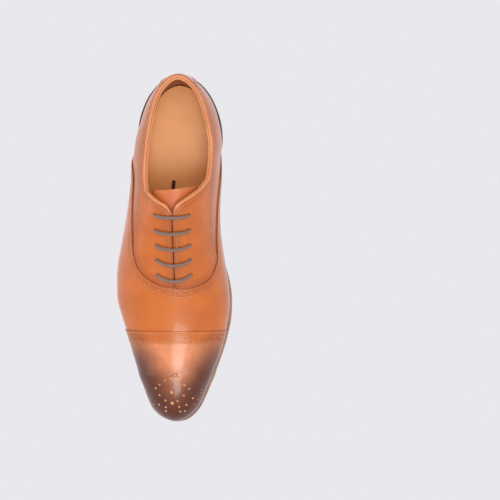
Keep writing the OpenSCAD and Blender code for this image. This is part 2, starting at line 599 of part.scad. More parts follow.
// Blind eyelets: a barrel through the lining and a flange behind it
module eyelets() color("#b08d57") for (side = [lateral, medial])
    for (k = [0:eyelet_count - 1]) at_hole(side, k) rotate_extrude($fn = 32)
        translate([lace_hole_d / 2, 0]) {
            translate([0, lining[0] - flange_gap - flange_t]) square([flange_w, flange_t]);
            translate([0, lining[0] - flange_gap - flange_t])
                square([barrel_t, flange_t + flange_gap + lining_t]);
        }

// Points of the lace are [station, reach across the ridge, depth]
function lace_point(p) = let(side = p[1] < 0 ? lateral : medial)
    lift(beside(side, p[0], max(abs(p[1]), 0.05)), p[2]);
function row_s(k) = first_eyelet_s - k * eyelet_pitch;
function hole_reach(side) = side * eyelet_reach;
// Down through a hole on one side of row k, ending just under its eyelet
function shaft(side, k) = [for (d = [facing_rise + 0.2, -1.2, lace_depth + lace_d / 2])
    [row_s(k), hole_reach(side), d]];
// The bars bow toward the toe, more so row by row
function bow(k) = 1.6 + 0.8 * k;
function bar(from, k) = [for (i = [-4:4]) let(v = i / 4.6 * -from)
    [row_s(k) - bow(k) * (1 - v * v), v * eyelet_reach, bar_rise - (abs(i) == 4 ? 0.12 : 0)]];
// Under the facing from row a to row b, passing the rows between at a sidestep
function under(side, a, b, step) = let(n = 3 * abs(b - a), t = sign(b - a), s = row_s(a),
    run = row_s(b) - s, turned = lace_depth + 0.3) concat(
    [[s - t * 0.9, hole_reach(side), turned]],
    [for (i = [0:n]) let(u = i / n) [s + run * u - t * (i == 0 ? 2.8 : i == n ? -2.8 : 0),
        hole_reach(side) + side * step * pow(sin(180 * u), 0.7), lace_depth]],
    [[s + run + t * 0.9, hole_reach(side), turned]]);
function crossing(from, k) = concat(reversed(shaft(from, k)), bar(from, k), shaft(-from, k));
// The lace from the lateral top eyelet to the medial second one, in one piece
function lace_run() = concat(
    crossing(lateral, 0), under(medial, 0, 2, -3.6),
    crossing(medial, 2), under(lateral, 2, 4, 3.6),
    crossing(lateral, 4), under(medial, 4, 3, 0),
    crossing(medial, 3), under(lateral, 3, 1, -3.6),
    crossing(lateral, 1));
// From the shaft of a last eyelet out to where its free end starts
function leaving(side, k) = [[row_s(k), side * (eyelet_reach + 0.9), lace_depth + 0.3],
    [row_s(k), side * (eyelet_reach + 2.8), lace_depth]];
module lace() color(lace_brown) tube(concat([tail_point(LATERAL_TAIL[0])],
    [for (p = concat(reversed(leaving(lateral, 0)), lace_run(), leaving(medial, 1))) lace_point(p)],
    [tail_point(MEDIAL_TAIL[0])]), lace_d, 8);

aglet_l = 22;
module tail(route) tube(through(tail_points(route), 34), lace_d, 8);
module lateral_lace_tail() color(lace_brown) tail(LATERAL_TAIL);
module medial_lace_tail() color(lace_brown) tail(MEDIAL_TAIL);
module aglet(route) {
    n = len(route);
    end = tail_point(route[n - 1]);
    run = unit(end - tail_point(route[n - 2]));
    translate(end) rotate([0, acos(run[2]), atan2(run[1], run[0])])
        cylinder(d = lace_d, h = aglet_l * min(ky, 1), $fn = 24);
}
module lateral_aglet() color("#6a4a35") aglet(LATERAL_TAIL);
module medial_aglet() color("#6a4a35") aglet(MEDIAL_TAIL);

outsole();
welt();
heel_rand();
insole();
insole_rib();
cork_filler();
shank();
insock();
top_piece();
heel_lift_lower();
heel_lift_middle();
heel_lift_upper();
heel_nails();
top_piece_pins();
toe_cap();
vamp();
lateral_quarter();
medial_quarter();
lateral_facing();
medial_facing();
back_strip();
vamp_lining();
lateral_quarter_lining();
medial_quarter_lining();
heel_grip();
toe_puff();
heel_counter();
tongue();
tongue_lining();
eyelets();
lace();
lateral_lace_tail();
medial_lace_tail();
lateral_aglet();
medial_aglet();
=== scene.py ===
import math
import bpy
import numpy as np
from mathutils import Matrix, Vector
from mathutils.kdtree import KDTree


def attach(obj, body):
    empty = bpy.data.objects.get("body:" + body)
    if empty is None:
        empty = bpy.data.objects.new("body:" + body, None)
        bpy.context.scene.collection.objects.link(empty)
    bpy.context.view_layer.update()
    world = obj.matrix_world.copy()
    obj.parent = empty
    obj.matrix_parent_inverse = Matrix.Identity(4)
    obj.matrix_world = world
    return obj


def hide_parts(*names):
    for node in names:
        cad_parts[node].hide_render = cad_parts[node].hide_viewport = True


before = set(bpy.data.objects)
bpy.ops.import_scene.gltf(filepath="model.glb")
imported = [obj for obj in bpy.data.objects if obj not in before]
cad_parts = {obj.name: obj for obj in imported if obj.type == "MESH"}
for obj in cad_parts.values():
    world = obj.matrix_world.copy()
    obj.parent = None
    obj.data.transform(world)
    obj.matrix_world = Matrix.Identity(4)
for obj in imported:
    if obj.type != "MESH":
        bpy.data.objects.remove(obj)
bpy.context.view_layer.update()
bpy.ops.object.select_all(action="DESELECT")
mm = 0.001

# camera straight above, toe toward the bottom of the picture
cameraLook = {"place": (0.067, -0.0007, 1.9), "lens": 152.5}
bpy.ops.object.camera_add(location=cameraLook["place"], rotation=(0, 0, 0))
camera = bpy.context.object
camera.name = "overheadCamera"
camera.data.lens = cameraLook["lens"]
camera.data.sensor_width = 36
bpy.context.scene.camera = camera
bpy.context.scene.view_settings.view_transform = "Standard"
print("camera set")

# the last the shoe is built on: station, middle x, reach of the upper (lateral, medial), reach of
# the sole (lateral, medial), height of the widest line, ridge height, fullness across and up
lastRows = np.array([
    [-164, 1.4, 40.2, 40.2, 43.0, 43.0, 19.5, 46.8, 2.1, 2.1, 2.0],
    [-155, 1.4, 38.4, 38.0, 41.4, 42.1, 19.9, 46.8, 2.1, 2.1, 2.0],
    [-146, 1.4, 35.3, 34.6, 38.6, 38.6, 20.5, 46.8, 2.1, 2.1, 2.0],
    [-134, 1.4, 30.7, 30.0, 33.7, 33.9, 21.6, 46.8, 2.1, 2.1, 2.0],
    [-122, 1.4, 29.2, 28.7, 31.6, 32.4, 22.2, 46.8, 2.1, 2.1, 2.0],
    [-110, 1.4, 31.3, 31.0, 33.7, 35.1, 22.8, 46.8, 2.1, 2.1, 2.0],
    [-90, 1.5, 37.2, 38.3, 39.6, 41.9, 23.5, 49.4, 2.1, 2.1, 2.0],
    [-75, 1.6, 41.6, 42.1, 43.9, 46.0, 24.6, 52.6, 2.1, 2.1, 2.0],
    [-60, 1.7, 46.6, 45.1, 48.7, 48.6, 25.0, 56.8, 2.05, 2.05, 1.95],
    [-45, 1.8, 50.6, 46.2, 51.9, 49.1, 25.8, 61.8, 2.0, 2.0, 1.9],
    [-30, 1.6, 51.1, 45.2, 52.4, 47.6, 26.4, 66.9, 2.0, 2.0, 1.9],
    [-15, 1.3, 50.1, 43.3, 50.8, 44.0, 27.4, 72.4, 2.0, 2.0, 1.9],
    [0, 1.0, 47.0, 41.3, 46.5, 39.0, 28.4, 77.9, 2.0, 2.0, 1.9],
    [15, 0.6, 43.6, 39.9, 42.5, 34.5, 30.0, 83.0, 2.0, 2.0, 1.85],
    [30, 0.5, 40.7, 39.3, 38.5, 32.0, 31.6, 87.6, 2.1, 2.1, 1.75],
    [45, 3.0, 41.0, 37.2, 37.0, 30.5, 31.8, 89.3, 2.25, 2.2, 1.65],
    [60, 5.4, 41.6, 35.8, 36.8, 31.0, 32.0, 88.5, 2.0, 2.3, 1.5],
    [77, 5.4, 40.7, 35.8, 37.0, 34.0, 30.8, 87.8, 1.5, 2.25, 1.5],
    [92, 5.4, 38.8, 37.1, 37.6, 37.0, 29.0, 85.0, 1.45, 1.95, 1.5],
    [104, 5.4, 38.1, 37.6, 38.6, 38.6, 28.0, 86.0, 1.46, 1.78, 1.5],
    [116, 5.4, 38.9, 39.6, 41.6, 41.3, 27.2, 88.0, 1.65, 1.8, 1.52],
    [128, 5.4, 42.9, 43.9, 46.0, 45.6, 26.5, 91.0, 1.8, 1.85, 1.6],
    [140, 5.4, 48.9, 49.7, 52.1, 51.7, 26.0, 97.0, 2.0, 2.0, 1.8],
    [152, 5.4, 55.5, 55.9, 58.2, 58.0, 26.0, 107.0, 2.5, 2.5, 2.1],
    [164, 5.4, 59.1, 59.1, 61.0, 61.0, 25.5, 119.0, 2.9, 2.9, 2.5]])
toplineRows = np.array([[46, 77.5], [60, 68], [77, 61.8], [92, 59], [104, 59.5], [122, 62],
                        [140, 66], [152, 69], [164, 71]])
featherHeight = 9.15
tuck = math.radians(60)
lateral, medial = -1, 1


def rowsAt(table, s):
    # a table's row at station s, smoothly between its knots
    knots = table[:, 0]
    s = np.asarray(s, float)
    i = np.clip(np.searchsorted(knots, s, side="right") - 1, 0, len(knots) - 2)
    slopes = np.zeros_like(table)
    a, b = np.diff(knots)[:-1, None], np.diff(knots)[1:, None]
    slopes[1:-1] = (np.diff(table, axis=0)[:-1] * b / a
                    + np.diff(table, axis=0)[1:] * a / b) / (a + b)
    h = (knots[i + 1] - knots[i])[..., None]
    u = np.clip((s - knots[i])[..., None] / h, 0, 1)
    v = 1 - u
    return (table[i] * v * v * (1 + 2 * u) + table[i + 1] * u * u * (1 + 2 * v)
            + (slopes[i] * u * v * v - slopes[i + 1] * u * u * v) * h)


def soleHeight(y):
    y = np.asarray(y, float)
    t = np.clip((y + 45) / 198, 0, 1)
    return np.where(y < -60, 11 * ((-60 - y) / 93) ** 2, 27 * t * t * (3 - 2 * t))


def section(side, s):
    s = np.asarray(s, float)
    side = np.broadcast_to(np.asarray(side, float), s.shape)
    over = np.abs(s) > 164
    s = np.where(over, np.sign(s) * 328 - s, s)
    side = np.where(over, -side, side)
    row = rowsAt(lastRows, s)
    y = np.clip(s, -110, 92)
    turn = np.radians(np.where(s < -110, (s + 110) * 90 / 54,
                               np.where(s > 92, (s - 92) * 90 / 72, 0)))
    c, n = side * np.cos(turn), np.sin(turn)
    inner = side > 0
    reach = np.where(inner, row[..., 3], row[..., 2])
    sole = np.where(inner, row[..., 5], row[..., 4])
    feather = -np.log(np.exp(-(reach - 2.8)) + np.exp(-(sole - 1.2)))
    return {"x": row[..., 1], "y": y, "c": c, "n": n, "reach": reach, "sole": sole,
            "wide": soleHeight(y + n * reach) + row[..., 6], "ridge": soleHeight(y) + row[..., 7],
            "across": 2 / np.where(inner, row[..., 9], row[..., 8]), "up": 2 / row[..., 10],
            "feather": feather, "low": soleHeight(y + n * feather) + featherHeight}


def onSection(t, angle):
    a = np.radians(np.asarray(angle, float))
    b = (a - math.pi / 2) * tuck / (math.pi / 2)
    above = a <= math.pi / 2
    sine, cosine = np.clip(np.sin(a), 1e-9, 1), np.clip(np.cos(a), 1e-9, 1)
    r = np.where(above, t["reach"] * sine ** t["across"],
                 t["feather"] + (t["reach"] - t["feather"]) * (np.cos(b) - 0.5) / 0.5)
    z = np.where(above, t["wide"] + (t["ridge"] - t["wide"]) * cosine ** t["up"],
                 t["wide"] - (t["wide"] - t["low"]) * np.sin(b) / math.sin(tuck))
    return np.stack([t["x"] + t["c"] * r, t["y"] + t["n"] * r, z], -1)


def unit(v):
    return v / np.maximum(np.linalg.norm(v, axis=-1, keepdims=True), 1e-12)


def skin(places):
    # point and outward normal of the last at places [station, signed angle]
    places = np.asarray(places, float)
    side = np.where(places[..., 1] < 0, -1.0, 1.0)
    a = np.abs(places[..., 1])
    b = np.maximum(a, 1.5)
    t = section(side, places[..., 0])
    along = (onSection(section(side, places[..., 0] + 0.4), b)
             - onSection(section(side, places[..., 0] - 0.4), b))
    down = onSection(t, b + 0.4) - onSection(t, b - 0.4)
    return onSection(t, a), unit(np.cross(along, down)) * np.where(side > 0, -1, 1)[..., None]


def lift(places, height):
    point, normal = skin(places)
    return point + normal * np.asarray(height, float)[..., None]


def angleAtReach(t, r):
    return np.degrees(np.arcsin(np.clip(r / t["reach"], 0, 1) ** (1 / t["across"])))


def angleAtHeight(t, z):
    low = 90 + np.degrees(np.arcsin(np.clip((t["wide"] - z) / (t["wide"] - t["low"]), 0, 1)
                                    * math.sin(tuck))) * 90 / 60
    high = np.degrees(np.arccos(np.clip((z - t["wide"]) / (t["ridge"] - t["wide"]), 0, 1)
                                ** (1 / t["up"])))
    return np.where(z < t["wide"], low, high)


def placesOf(plan):
    plan = np.asarray(plan, float)
    x = rowsAt(lastRows, plan[:, 1])[:, 1]
    side = np.where(plan[:, 0] < x, -1.0, 1.0)
    angle = angleAtReach(section(side, plan[:, 1]), np.abs(plan[:, 0] - x))
    return np.stack([plan[:, 1], side * angle], -1)


def beside(side, s, r):
    s, r, side = np.broadcast_arrays(np.asarray(s, float), np.asarray(r, float),
                                     np.asarray(side, float))
    return np.stack([s, side * angleAtReach(section(side, s), r)], -1)


def topline(side, s, depth=0):
    s = np.asarray(s, float)
    inside = np.where(s > 164, 328 - s, s)
    height = soleHeight(np.minimum(inside, 92)) + rowsAt(toplineRows, inside)[..., 1] - depth
    return np.stack([s, side * angleAtHeight(section(side, s), height)], -1)


def through(points, n):
    # n + 1 points along a smooth curve
    p = np.asarray(points, float)
    x = np.arange(n + 1) * (len(p) - 1) / n
    k = np.minimum(np.floor(x).astype(int), len(p) - 2)
    u = (x - k)[:, None]
    a, b, c, d = p[np.maximum(k - 1, 0)], p[k], p[k + 1], p[np.minimum(k + 2, len(p) - 1)]
    return 0.5 * (2 * b + (c - a) * u + (2 * a - 5 * b + 4 * c - d) * u * u
                  + (3 * b - a - 3 * c + d) * u ** 3)


def stepAside(places, distance, toward):
    # the run of places moved over the surface, square to itself, by a true distance
    places = np.array(places, float)
    distance = np.broadcast_to(np.asarray(distance, float), places.shape[:1])
    count = max(1, int(np.ceil(np.abs(distance).max() / 0.7)))
    for _ in range(count):
        point, normal = skin(places)
        across = np.cross(normal, unit(np.gradient(point, axis=0))) * toward
        ds = (skin(places + [0.2, 0])[0] - skin(places - [0.2, 0])[0]) / 0.4
        dw = (skin(places + [0, 0.2])[0] - skin(places - [0, 0.2])[0]) / 0.4
        ss, sw, ww = (ds * ds).sum(1), (ds * dw).sum(1), (dw * dw).sum(1)
        sq, wq = (ds * across).sum(1), (dw * across).sum(1)
        det = ss * ww - sw * sw
        move = np.stack([(sq * ww - wq * sw) / det, (wq * ss - sq * sw) / det], -1)
        places = places + move * (distance / count)[:, None]
    return places


def spacedRow(places, pitch, height, ends=(0.0, 0.0)):
    # points, directions and normals at an even pitch along a run of places
    point, normal = skin(places)
    point = point + normal * height
    length = np.concatenate([[0], np.cumsum(np.linalg.norm(np.diff(point, axis=0), axis=1))])
    room = length[-1] - ends[0] - ends[1]
    count = max(1, round(room / pitch))
    at = ends[0] + (np.arange(count) + 0.5) * room / count
    run = unit(np.gradient(point, axis=0))
    return [np.stack([np.interp(at, length, v[:, k]) for k in range(3)], -1)
            for v in (point, run, normal)]


# edges of the panels, [x, y] in plan or [station, height over the sole]
lateralVee = [[-22.5, 50], [-17, 44], [-11, 39.5], [-6, 36.7], [-2.6, 33.5], [0, 31]]
medialVee = [[29, 56], [24.5, 50.5], [20, 47], [15, 43.4], [9.5, 40], [4.5, 36], [1.1, 31]]
lateralBand = [[-28, 52], [-29.8, 30], [-32, 12], [-33.8, -4]]
medialBand = [[33, 46], [33, 30], [34, 12], [38.1, -9.4]]
throatEdge = [[-33.8, -4], [-32.4, -10], [-30, -16.4], [-26, -21.6], [-20.8, -25.9], [-15, -29.5],
              [-8, -32], [0, -33.6], [7, -34.4], [15, -33.6], [23.6, -31], [29.6, -27.6],
              [33.8, -22.4], [36.3, -16.4], [38.1, -9.4]]
lateralWing = [[15, 59.8], [32, 57], [48, 51.6], [62, 43.6], [73, 34], [81, 23.6], [86, 15.6]]
medialWing = [[8, 48.8], [25, 46.4], [41, 43.8], [55, 40.4], [66, 35.4], [75, 27.6], [83, 17.6]]
notchStation, veeStation, slitTop, throatStation = 149.5, 60, 31, -33
footAngle = 188


def capLine(w):
    u = np.asarray(w, float) / 180
    return -71.4 + np.where(u < 0, 3.9, 0.8) * u * u


def wing(side):
    table = np.array(lateralWing if side < 0 else medialWing, float)
    angle = angleAtHeight(section(side, table[:, 0]), soleHeight(table[:, 0]) + table[:, 1])
    start = placesOf(throatEdge)[0 if side < 0 else -1]
    return np.vstack([start, np.stack([table[:, 0], side * angle], -1), [90, side * 172]])


def openingEdge(side, n=(70, 48, 40)):
    vee = placesOf(lateralVee if side < 0 else medialVee)
    return np.vstack([topline(side, np.linspace(notchStation, veeStation, n[0] + 1)),
                      through(vee, n[1])[1:],
                      beside(side, np.linspace(slitTop, throatStation, n[2] + 1)[1:], 0.5)])


def bandEdge(side, n=(70, 48, 40)):
    band = placesOf(lateralBand if side < 0 else medialBand)
    half = placesOf(throatEdge[:8] if side < 0 else throatEdge[:6:-1])
    return np.vstack([topline(side, np.linspace(notchStation, veeStation, n[0] + 1), 7),
                      through(band, n[1])[1:], through(half, n[2])[1:]])


def between(a, b, rows):
    v = np.linspace(0, 1, rows + 1)[:, None, None]
    return a[None] * (1 - v) + b[None] * v


# ---- mesh helpers


def gridPiece(name, coords, uv=None, outward=None, weld=True):
    # a grid primitive laid over coords[row, column]; doubled points are merged
    rows, cols = coords.shape[0] - 1, coords.shape[1] - 1
    bpy.ops.mesh.primitive_grid_add(x_subdivisions=cols, y_subdivisions=rows, size=0.1,
                                    location=(0, 0, 0))
    piece = bpy.context.object
    piece.name = name
    mesh = piece.data
    mesh.vertices.foreach_set("co", (coords * mm).astype(np.float32).reshape(-1))
    if uv is not None:
        corner = np.zeros(len(mesh.loops), np.int32)
        mesh.loops.foreach_get("vertex_index", corner)
        layer = mesh.uv_layers[0]
        layer.name = "seam"
        layer.data.foreach_set("uv", (uv.reshape(-1, 2)[corner]).astype(np.float32).reshape(-1))
    mesh.update()
    flip = False
    if outward is not None:
        normals = np.zeros(len(mesh.polygons) * 3, np.float32)
        mesh.polygons.foreach_get("normal", normals)
        wanted = outward[:-1, :-1].reshape(-1, 3)
        flip = (normals.reshape(-1, 3) * wanted).sum() < 0
    bpy.ops.object.mode_set(mode="EDIT")
    bpy.ops.mesh.select_all(action="SELECT")
    if weld:
        bpy.ops.mesh.remove_doubles(threshold=2e-6)
    if flip:
        bpy.ops.mesh.flip_normals()
    if outward is None:
        bpy.ops.mesh.normals_make_consistent(inside=False)
    bpy.ops.mesh.select_all(action="DESELECT")
    bpy.ops.object.mode_set(mode="OBJECT")
    return piece


def applied(piece, kind, **settings):
    bpy.ops.object.select_all(action="DESELECT")
    piece.select_set(True)
    bpy.context.view_layer.objects.active = piece
    change = piece.modifiers.new(kind.lower(), kind)
    for key, value in settings.items():
        setattr(change, key, value)
    bpy.ops.object.modifier_apply(modifier=change.name)


def finished(piece, finish, body="shoe", nodes=(), angle=40):
    bpy.ops.object.select_all(action="DESELECT")
    piece.select_set(True)
    bpy.context.view_layer.objects.active = piece
    if angle:
        bpy.ops.object.shade_smooth_by_angle(angle=math.radians(angle))
    if finish:
        piece.data.materials.clear()
        piece.data.materials.append(finish)
    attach(piece, body)
    if nodes:
        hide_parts(*nodes)
    piece.select_set(False)
    return piece


def distanceTo(points, line):
    tree = KDTree(len(line))
    for i, p in enumerate(line):
        tree.insert(p, i)
    tree.balance()
    flat = points.reshape(-1, 3)
    return np.array([tree.find(p)[2] for p in flat]).reshape(points.shape[:-1])


def finely(points, step=0.5):
    length = np.concatenate([[0], np.cumsum(np.linalg.norm(np.diff(points, axis=0), axis=1))])
    at = np.arange(0, length[-1], step)
    return np.stack([np.interp(at, length, points[:, k]) for k in range(3)], -1)


def panel(name, places, height, thick, finishes, edges=(), bevel=0.25, holes=None):
    # a leather panel over the last: outer face at a height, thickness inward, rounded cut edge;
    # finishes are [face, cut edge, hole wall]
    point, normal = skin(places)
    near = [distanceTo(point, finely(e)) if e is not None else np.full(point.shape[:-1], 50.0)
            for e in (list(edges) + [None, None])[:2]]
    high = height(places, near) if callable(height) else np.full(point.shape[:-1], float(height))
    uv = np.stack(near, -1) * mm
    piece = gridPiece(name, point + normal * high[..., None], uv, normal)
    piece.data.materials.clear()
    for finish in finishes:
        piece.data.materials.append(finish)
    applied(piece, "SOLIDIFY", thickness=thick * mm, offset=-1, use_rim=True,
            material_offset_rim=1, use_quality_normals=True)
    if bevel:
        applied(piece, "BEVEL", width=bevel * mm, segments=2, limit_method="ANGLE",
                angle_limit=math.radians(50), material=-1)
    if holes is not None:
        punch(piece, holes)
    return piece


def stamped(name, template, points, runs, normals, scale=None):
    # copies of a template mesh, each set at a point with x along the run and z along the normal
    verts, faces = template
    runs = unit(runs - normals * (runs * normals).sum(1, keepdims=True))
    sideways = np.cross(normals, runs)
    scale = np.ones(len(points)) if scale is None else np.asarray(scale, float)
    made = (points[:, None] + scale[:, None, None] * (
        verts[None, :, 0:1] * runs[:, None] + verts[None, :, 1:2] * sideways[:, None]
        + verts[None, :, 2:3] * normals[:, None]))
    mesh = bpy.data.meshes.new(name)
    shift = len(verts)
    mesh.from_pydata((made.reshape(-1, 3) * mm).tolist(), [],
                     [[c + i * shift for c in f] for i in range(len(points)) for f in faces])
    mesh.update()
    piece = bpy.data.objects.new(name, mesh)
    bpy.context.collection.objects.link(piece)
    return piece


def templateOf(piece):
    verts = np.array([v.co for v in piece.data.vertices])
    faces = [list(f.vertices) for f in piece.data.polygons]
    bpy.data.objects.remove(piece, do_unlink=True)
    return verts, faces


def thread(length, width, tall):
    bpy.ops.mesh.primitive_uv_sphere_add(segments=8, ring_count=5, radius=1)
    bpy.ops.transform.rotate(value=math.pi / 2, orient_axis="Y", center_override=(0, 0, 0))
    piece = bpy.context.object
    bpy.ops.object.transform_apply(location=False, rotation=True, scale=False)
    verts, faces = templateOf(piece)
    verts = np.sign(verts) * np.abs(verts) ** [0.75, 1, 1]  # blunt ends
    return verts * [length / 2, width / 2, tall / 2], faces


def punchCutter(name, row, diameter, depth, slotIndex=2, sides=14):
    # cylinders standing from above the leather down to a depth, one for each hole
    bpy.ops.mesh.primitive_cylinder_add(vertices=sides, radius=1, depth=1, location=(0, 0, 0))
    verts, faces = templateOf(bpy.context.object)
    points, runs, normals = row
    diameter = np.broadcast_to(np.asarray(diameter, float), (len(points),))
    tall = 2.0 + depth
    made = []
    for d in sorted(set(diameter.tolist())):
        pick = diameter == d
        made.append((verts * [d / 2, d / 2, tall] + [0, 0, 1.0 - depth / 2 + 0.0], pick))
    pieces = [stamped(name, (v, faces), points[p], runs[p], normals[p]) for v, p in made]
    bpy.ops.object.select_all(action="DESELECT")
    for p in pieces:
        p.select_set(True)
    bpy.context.view_layer.objects.active = pieces[0]
    if len(pieces) > 1:
        bpy.ops.object.join()
    cutter = bpy.context.object
    bpy.ops.object.mode_set(mode="EDIT")
    bpy.ops.mesh.select_all(action="SELECT")
    bpy.ops.mesh.normals_make_consistent(inside=False)
    bpy.ops.object.mode_set(mode="OBJECT")
    return cutter


def punch(piece, cutter):
    cutter.data.materials.clear()
    for finish in piece.data.materials:
        cutter.data.materials.append(finish)
    for face in cutter.data.polygons:
        face.material_index = 2
    applied(piece, "BOOLEAN", operation="DIFFERENCE", solver="MANIFOLD", object=cutter)
    bpy.data.objects.remove(cutter, do_unlink=True)


def ringsAlong(route, radius, sides, relief=None):
    # rings of a tube along a route, carried without a twist; relief(distance, angle) adds height
    run = unit(np.gradient(route, axis=0))
    start = np.cross(run[0], [0, 0, 1.0] if abs(run[0][2]) < 0.9 else [1.0, 0, 0])
    u = [unit(start)]
    for k in range(1, len(route)):
        u.append(unit(u[-1] - run[k] * (u[-1] @ run[k])))
    u = np.array(u)
    v = np.cross(run, u)
    length = np.concatenate([[0], np.cumsum(np.linalg.norm(np.diff(route, axis=0), axis=1))])
    angle = np.linspace(0, 2 * math.pi, sides + 1)
    r = np.full((len(route), sides + 1), float(radius)) if np.isscalar(radius) else (
        np.asarray(radius, float)[:, None] * np.ones(sides + 1))
    if relief is not None:
        r = r + relief(length[:, None], angle[None])
    rings = (route[:, None] + r[..., None] * (u[:, None] * np.cos(angle)[None, :, None]
                                             + v[:, None] * np.sin(angle)[None, :, None]))
    rings = np.concatenate([np.repeat(route[:1, None], sides + 1, 1), rings,
                            np.repeat(route[-1:, None], sides + 1, 1)])
    uv = np.stack([np.broadcast_to(angle / (2 * math.pi), rings.shape[:2]),
                   np.concatenate([[0], length, length[-1:]])[:, None]
                   * mm * np.ones(sides + 1)], -1)
    return rings, uv


def evenly(points, step):
    length = np.concatenate([[0], np.cumsum(np.linalg.norm(np.diff(points, axis=0), axis=1))])
    at = np.linspace(0, length[-1], max(2, round(length[-1] / step)) + 1)
    return np.stack([np.interp(at, length, points[:, k]) for k in range(3)], -1), length[-1]


# ---- finishes


def colour(r, g, b):
    return tuple((c / 12.92 if c <= 0.04045 else ((c + 0.055) / 1.055) ** 2.4)
                 for c in (r / 255, g / 255, b / 255)) + (1.0,)


def addNode(tree, kind, x=0, y=0, **settings):
    made = tree.nodes.new(kind)
    made.location = (x, y)
    for key, value in settings.items():
        setattr(made, key, value)
    return made


def newFinish(name, rough=0.5, coat=0.0, coatRough=0.2, metal=0.0, specular=0.5, sheen=0.0):
    made = bpy.data.materials.new(name)
    made.use_nodes = True
    shader = made.node_tree.nodes["Principled BSDF"]
    for socket, value in (("Roughness", rough), ("Coat Weight", coat), ("Metallic", metal),
                          ("Coat Roughness", coatRough), ("Specular IOR Level", specular),
                          ("Sheen Weight", sheen)):
        shader.inputs[socket].default_value = value
    return made, made.node_tree, shader


def newGroup(name, inputs, outputs):
    tree = bpy.data.node_groups.new(name, "ShaderNodeTree")
    for label, kind, value in inputs:
        socket = tree.interface.new_socket(label, in_out="INPUT", socket_type=kind)
        if value is not None:
            socket.default_value = value
    for label, kind in outputs:
        tree.interface.new_socket(label, in_out="OUTPUT", socket_type=kind)
    return tree, addNode(tree, "NodeGroupInput", -900), addNode(tree, "NodeGroupOutput", 900)


def math2(tree, operation, a, b=None, x=0, y=0):
    made = addNode(tree, "ShaderNodeMath", x, y, operation=operation)
    for k, value in enumerate((a, b)):
        if value is None:
            continue
        if isinstance(value, (int, float)):
            made.inputs[k].default_value = value
        else:
            tree.links.new(value, made.inputs[k])
    return made.outputs[0]


def fade(tree, value, low, high, to0=0.0, to1=1.0, x=0, y=0):
    made = addNode(tree, "ShaderNodeMapRange", x, y, interpolation_type="SMOOTHSTEP")
    tree.links.new(value, made.inputs["Value"])
    for socket, number in (("From Min", low), ("From Max", high), ("To Min", to0), ("To Max", to1)):
        made.inputs[socket].default_value = number
    return made.outputs["Result"]


def blended(tree, factor, a, b, x=0, y=0, mode="MIX"):
    made = addNode(tree, "ShaderNodeMix", x, y, data_type="RGBA", blend_type=mode)
    for socket, value in ((made.inputs[0], factor), (made.inputs[6], a), (made.inputs[7], b)):
        if isinstance(value, (int, float)):
            socket.default_value = value
        elif isinstance(value, tuple):
            socket.default_value = value
        else:
            tree.links.new(value, socket)
    return made.outputs[2]


# fine calf grain: a height for the bump and a slow mottle of the dye
grainGroup, gin, gout = newGroup("calfGrain", [("Vector", "NodeSocketVector", None)],
                                 [("Height", "NodeSocketFloat"), ("Mottle", "NodeSocketFloat")])
pores = addNode(grainGroup, "ShaderNodeTexVoronoi", -600, 200, feature="SMOOTH_F1")
pores.inputs["Scale"].default_value = 1250
grainGroup.links.new(gin.outputs[0], pores.inputs["Vector"])
wrinkle = addNode(grainGroup, "ShaderNodeTexNoise", -600, -100)
wrinkle.inputs["Scale"].default_value = 420
wrinkle.inputs["Detail"].default_value = 3
grainGroup.links.new(gin.outputs[0], wrinkle.inputs["Vector"])
dye = addNode(grainGroup, "ShaderNodeTexNoise", -600, -400)
dye.inputs["Scale"].default_value = 38
dye.inputs["Detail"].default_value = 4
dye.inputs["Roughness"].default_value = 0.6
grainGroup.links.new(gin.outputs[0], dye.inputs["Vector"])
poreHeight = math2(grainGroup, "MULTIPLY", pores.outputs["Distance"], 0.55, -300, 200)
grainGroup.links.new(math2(grainGroup, "ADD", poreHeight, wrinkle.outputs[0], 0, 100),
                     gout.inputs[0])
grainGroup.links.new(fade(grainGroup, dye.outputs[0], 0.34, 0.68, x=0, y=-300), gout.inputs[1])

# stitched edge: from the distance to the edge, the pressed-down rows, and painted shade in those
# rows and along the darker rim
seamGroup, sin_, sout = newGroup("stitchedEdge", [
    ("Distance", "NodeSocketFloat", None), ("First row", "NodeSocketFloat", 0.0015),
    ("Second row", "NodeSocketFloat", 0.006)],
    [("Height", "NodeSocketFloat"), ("Shade", "NodeSocketFloat")])
grooves = []
for k in (1, 2):
    apart = math2(seamGroup, "SUBTRACT", sin_.outputs[0], sin_.outputs[k], -600, -200 * k)
    away = math2(seamGroup, "ABSOLUTE", apart, None, -400, -200 * k)
    grooves.append(fade(seamGroup, away, 0.0, 0.0011, 1.0, 0.0, -200, -200 * k))
bothRows = math2(seamGroup, "MAXIMUM", grooves[0], grooves[1], 0, -200)
seamGroup.links.new(math2(seamGroup, "MULTIPLY", bothRows, -1.0, 300, -100), sout.inputs[0])
# painted shade: darker toward the edge within 9.5 mm, and darker again in the pressed stitch rows
rimShade = fade(seamGroup, sin_.outputs[0], 0.0002, 0.0095, 0.55, 0.0, -200, 300)
rowShade = math2(seamGroup, "MULTIPLY", bothRows, 0.5, 200, -300)
seamGroup.links.new(math2(seamGroup, "MAXIMUM", rimShade, rowShade, 400, 200), sout.inputs[1])


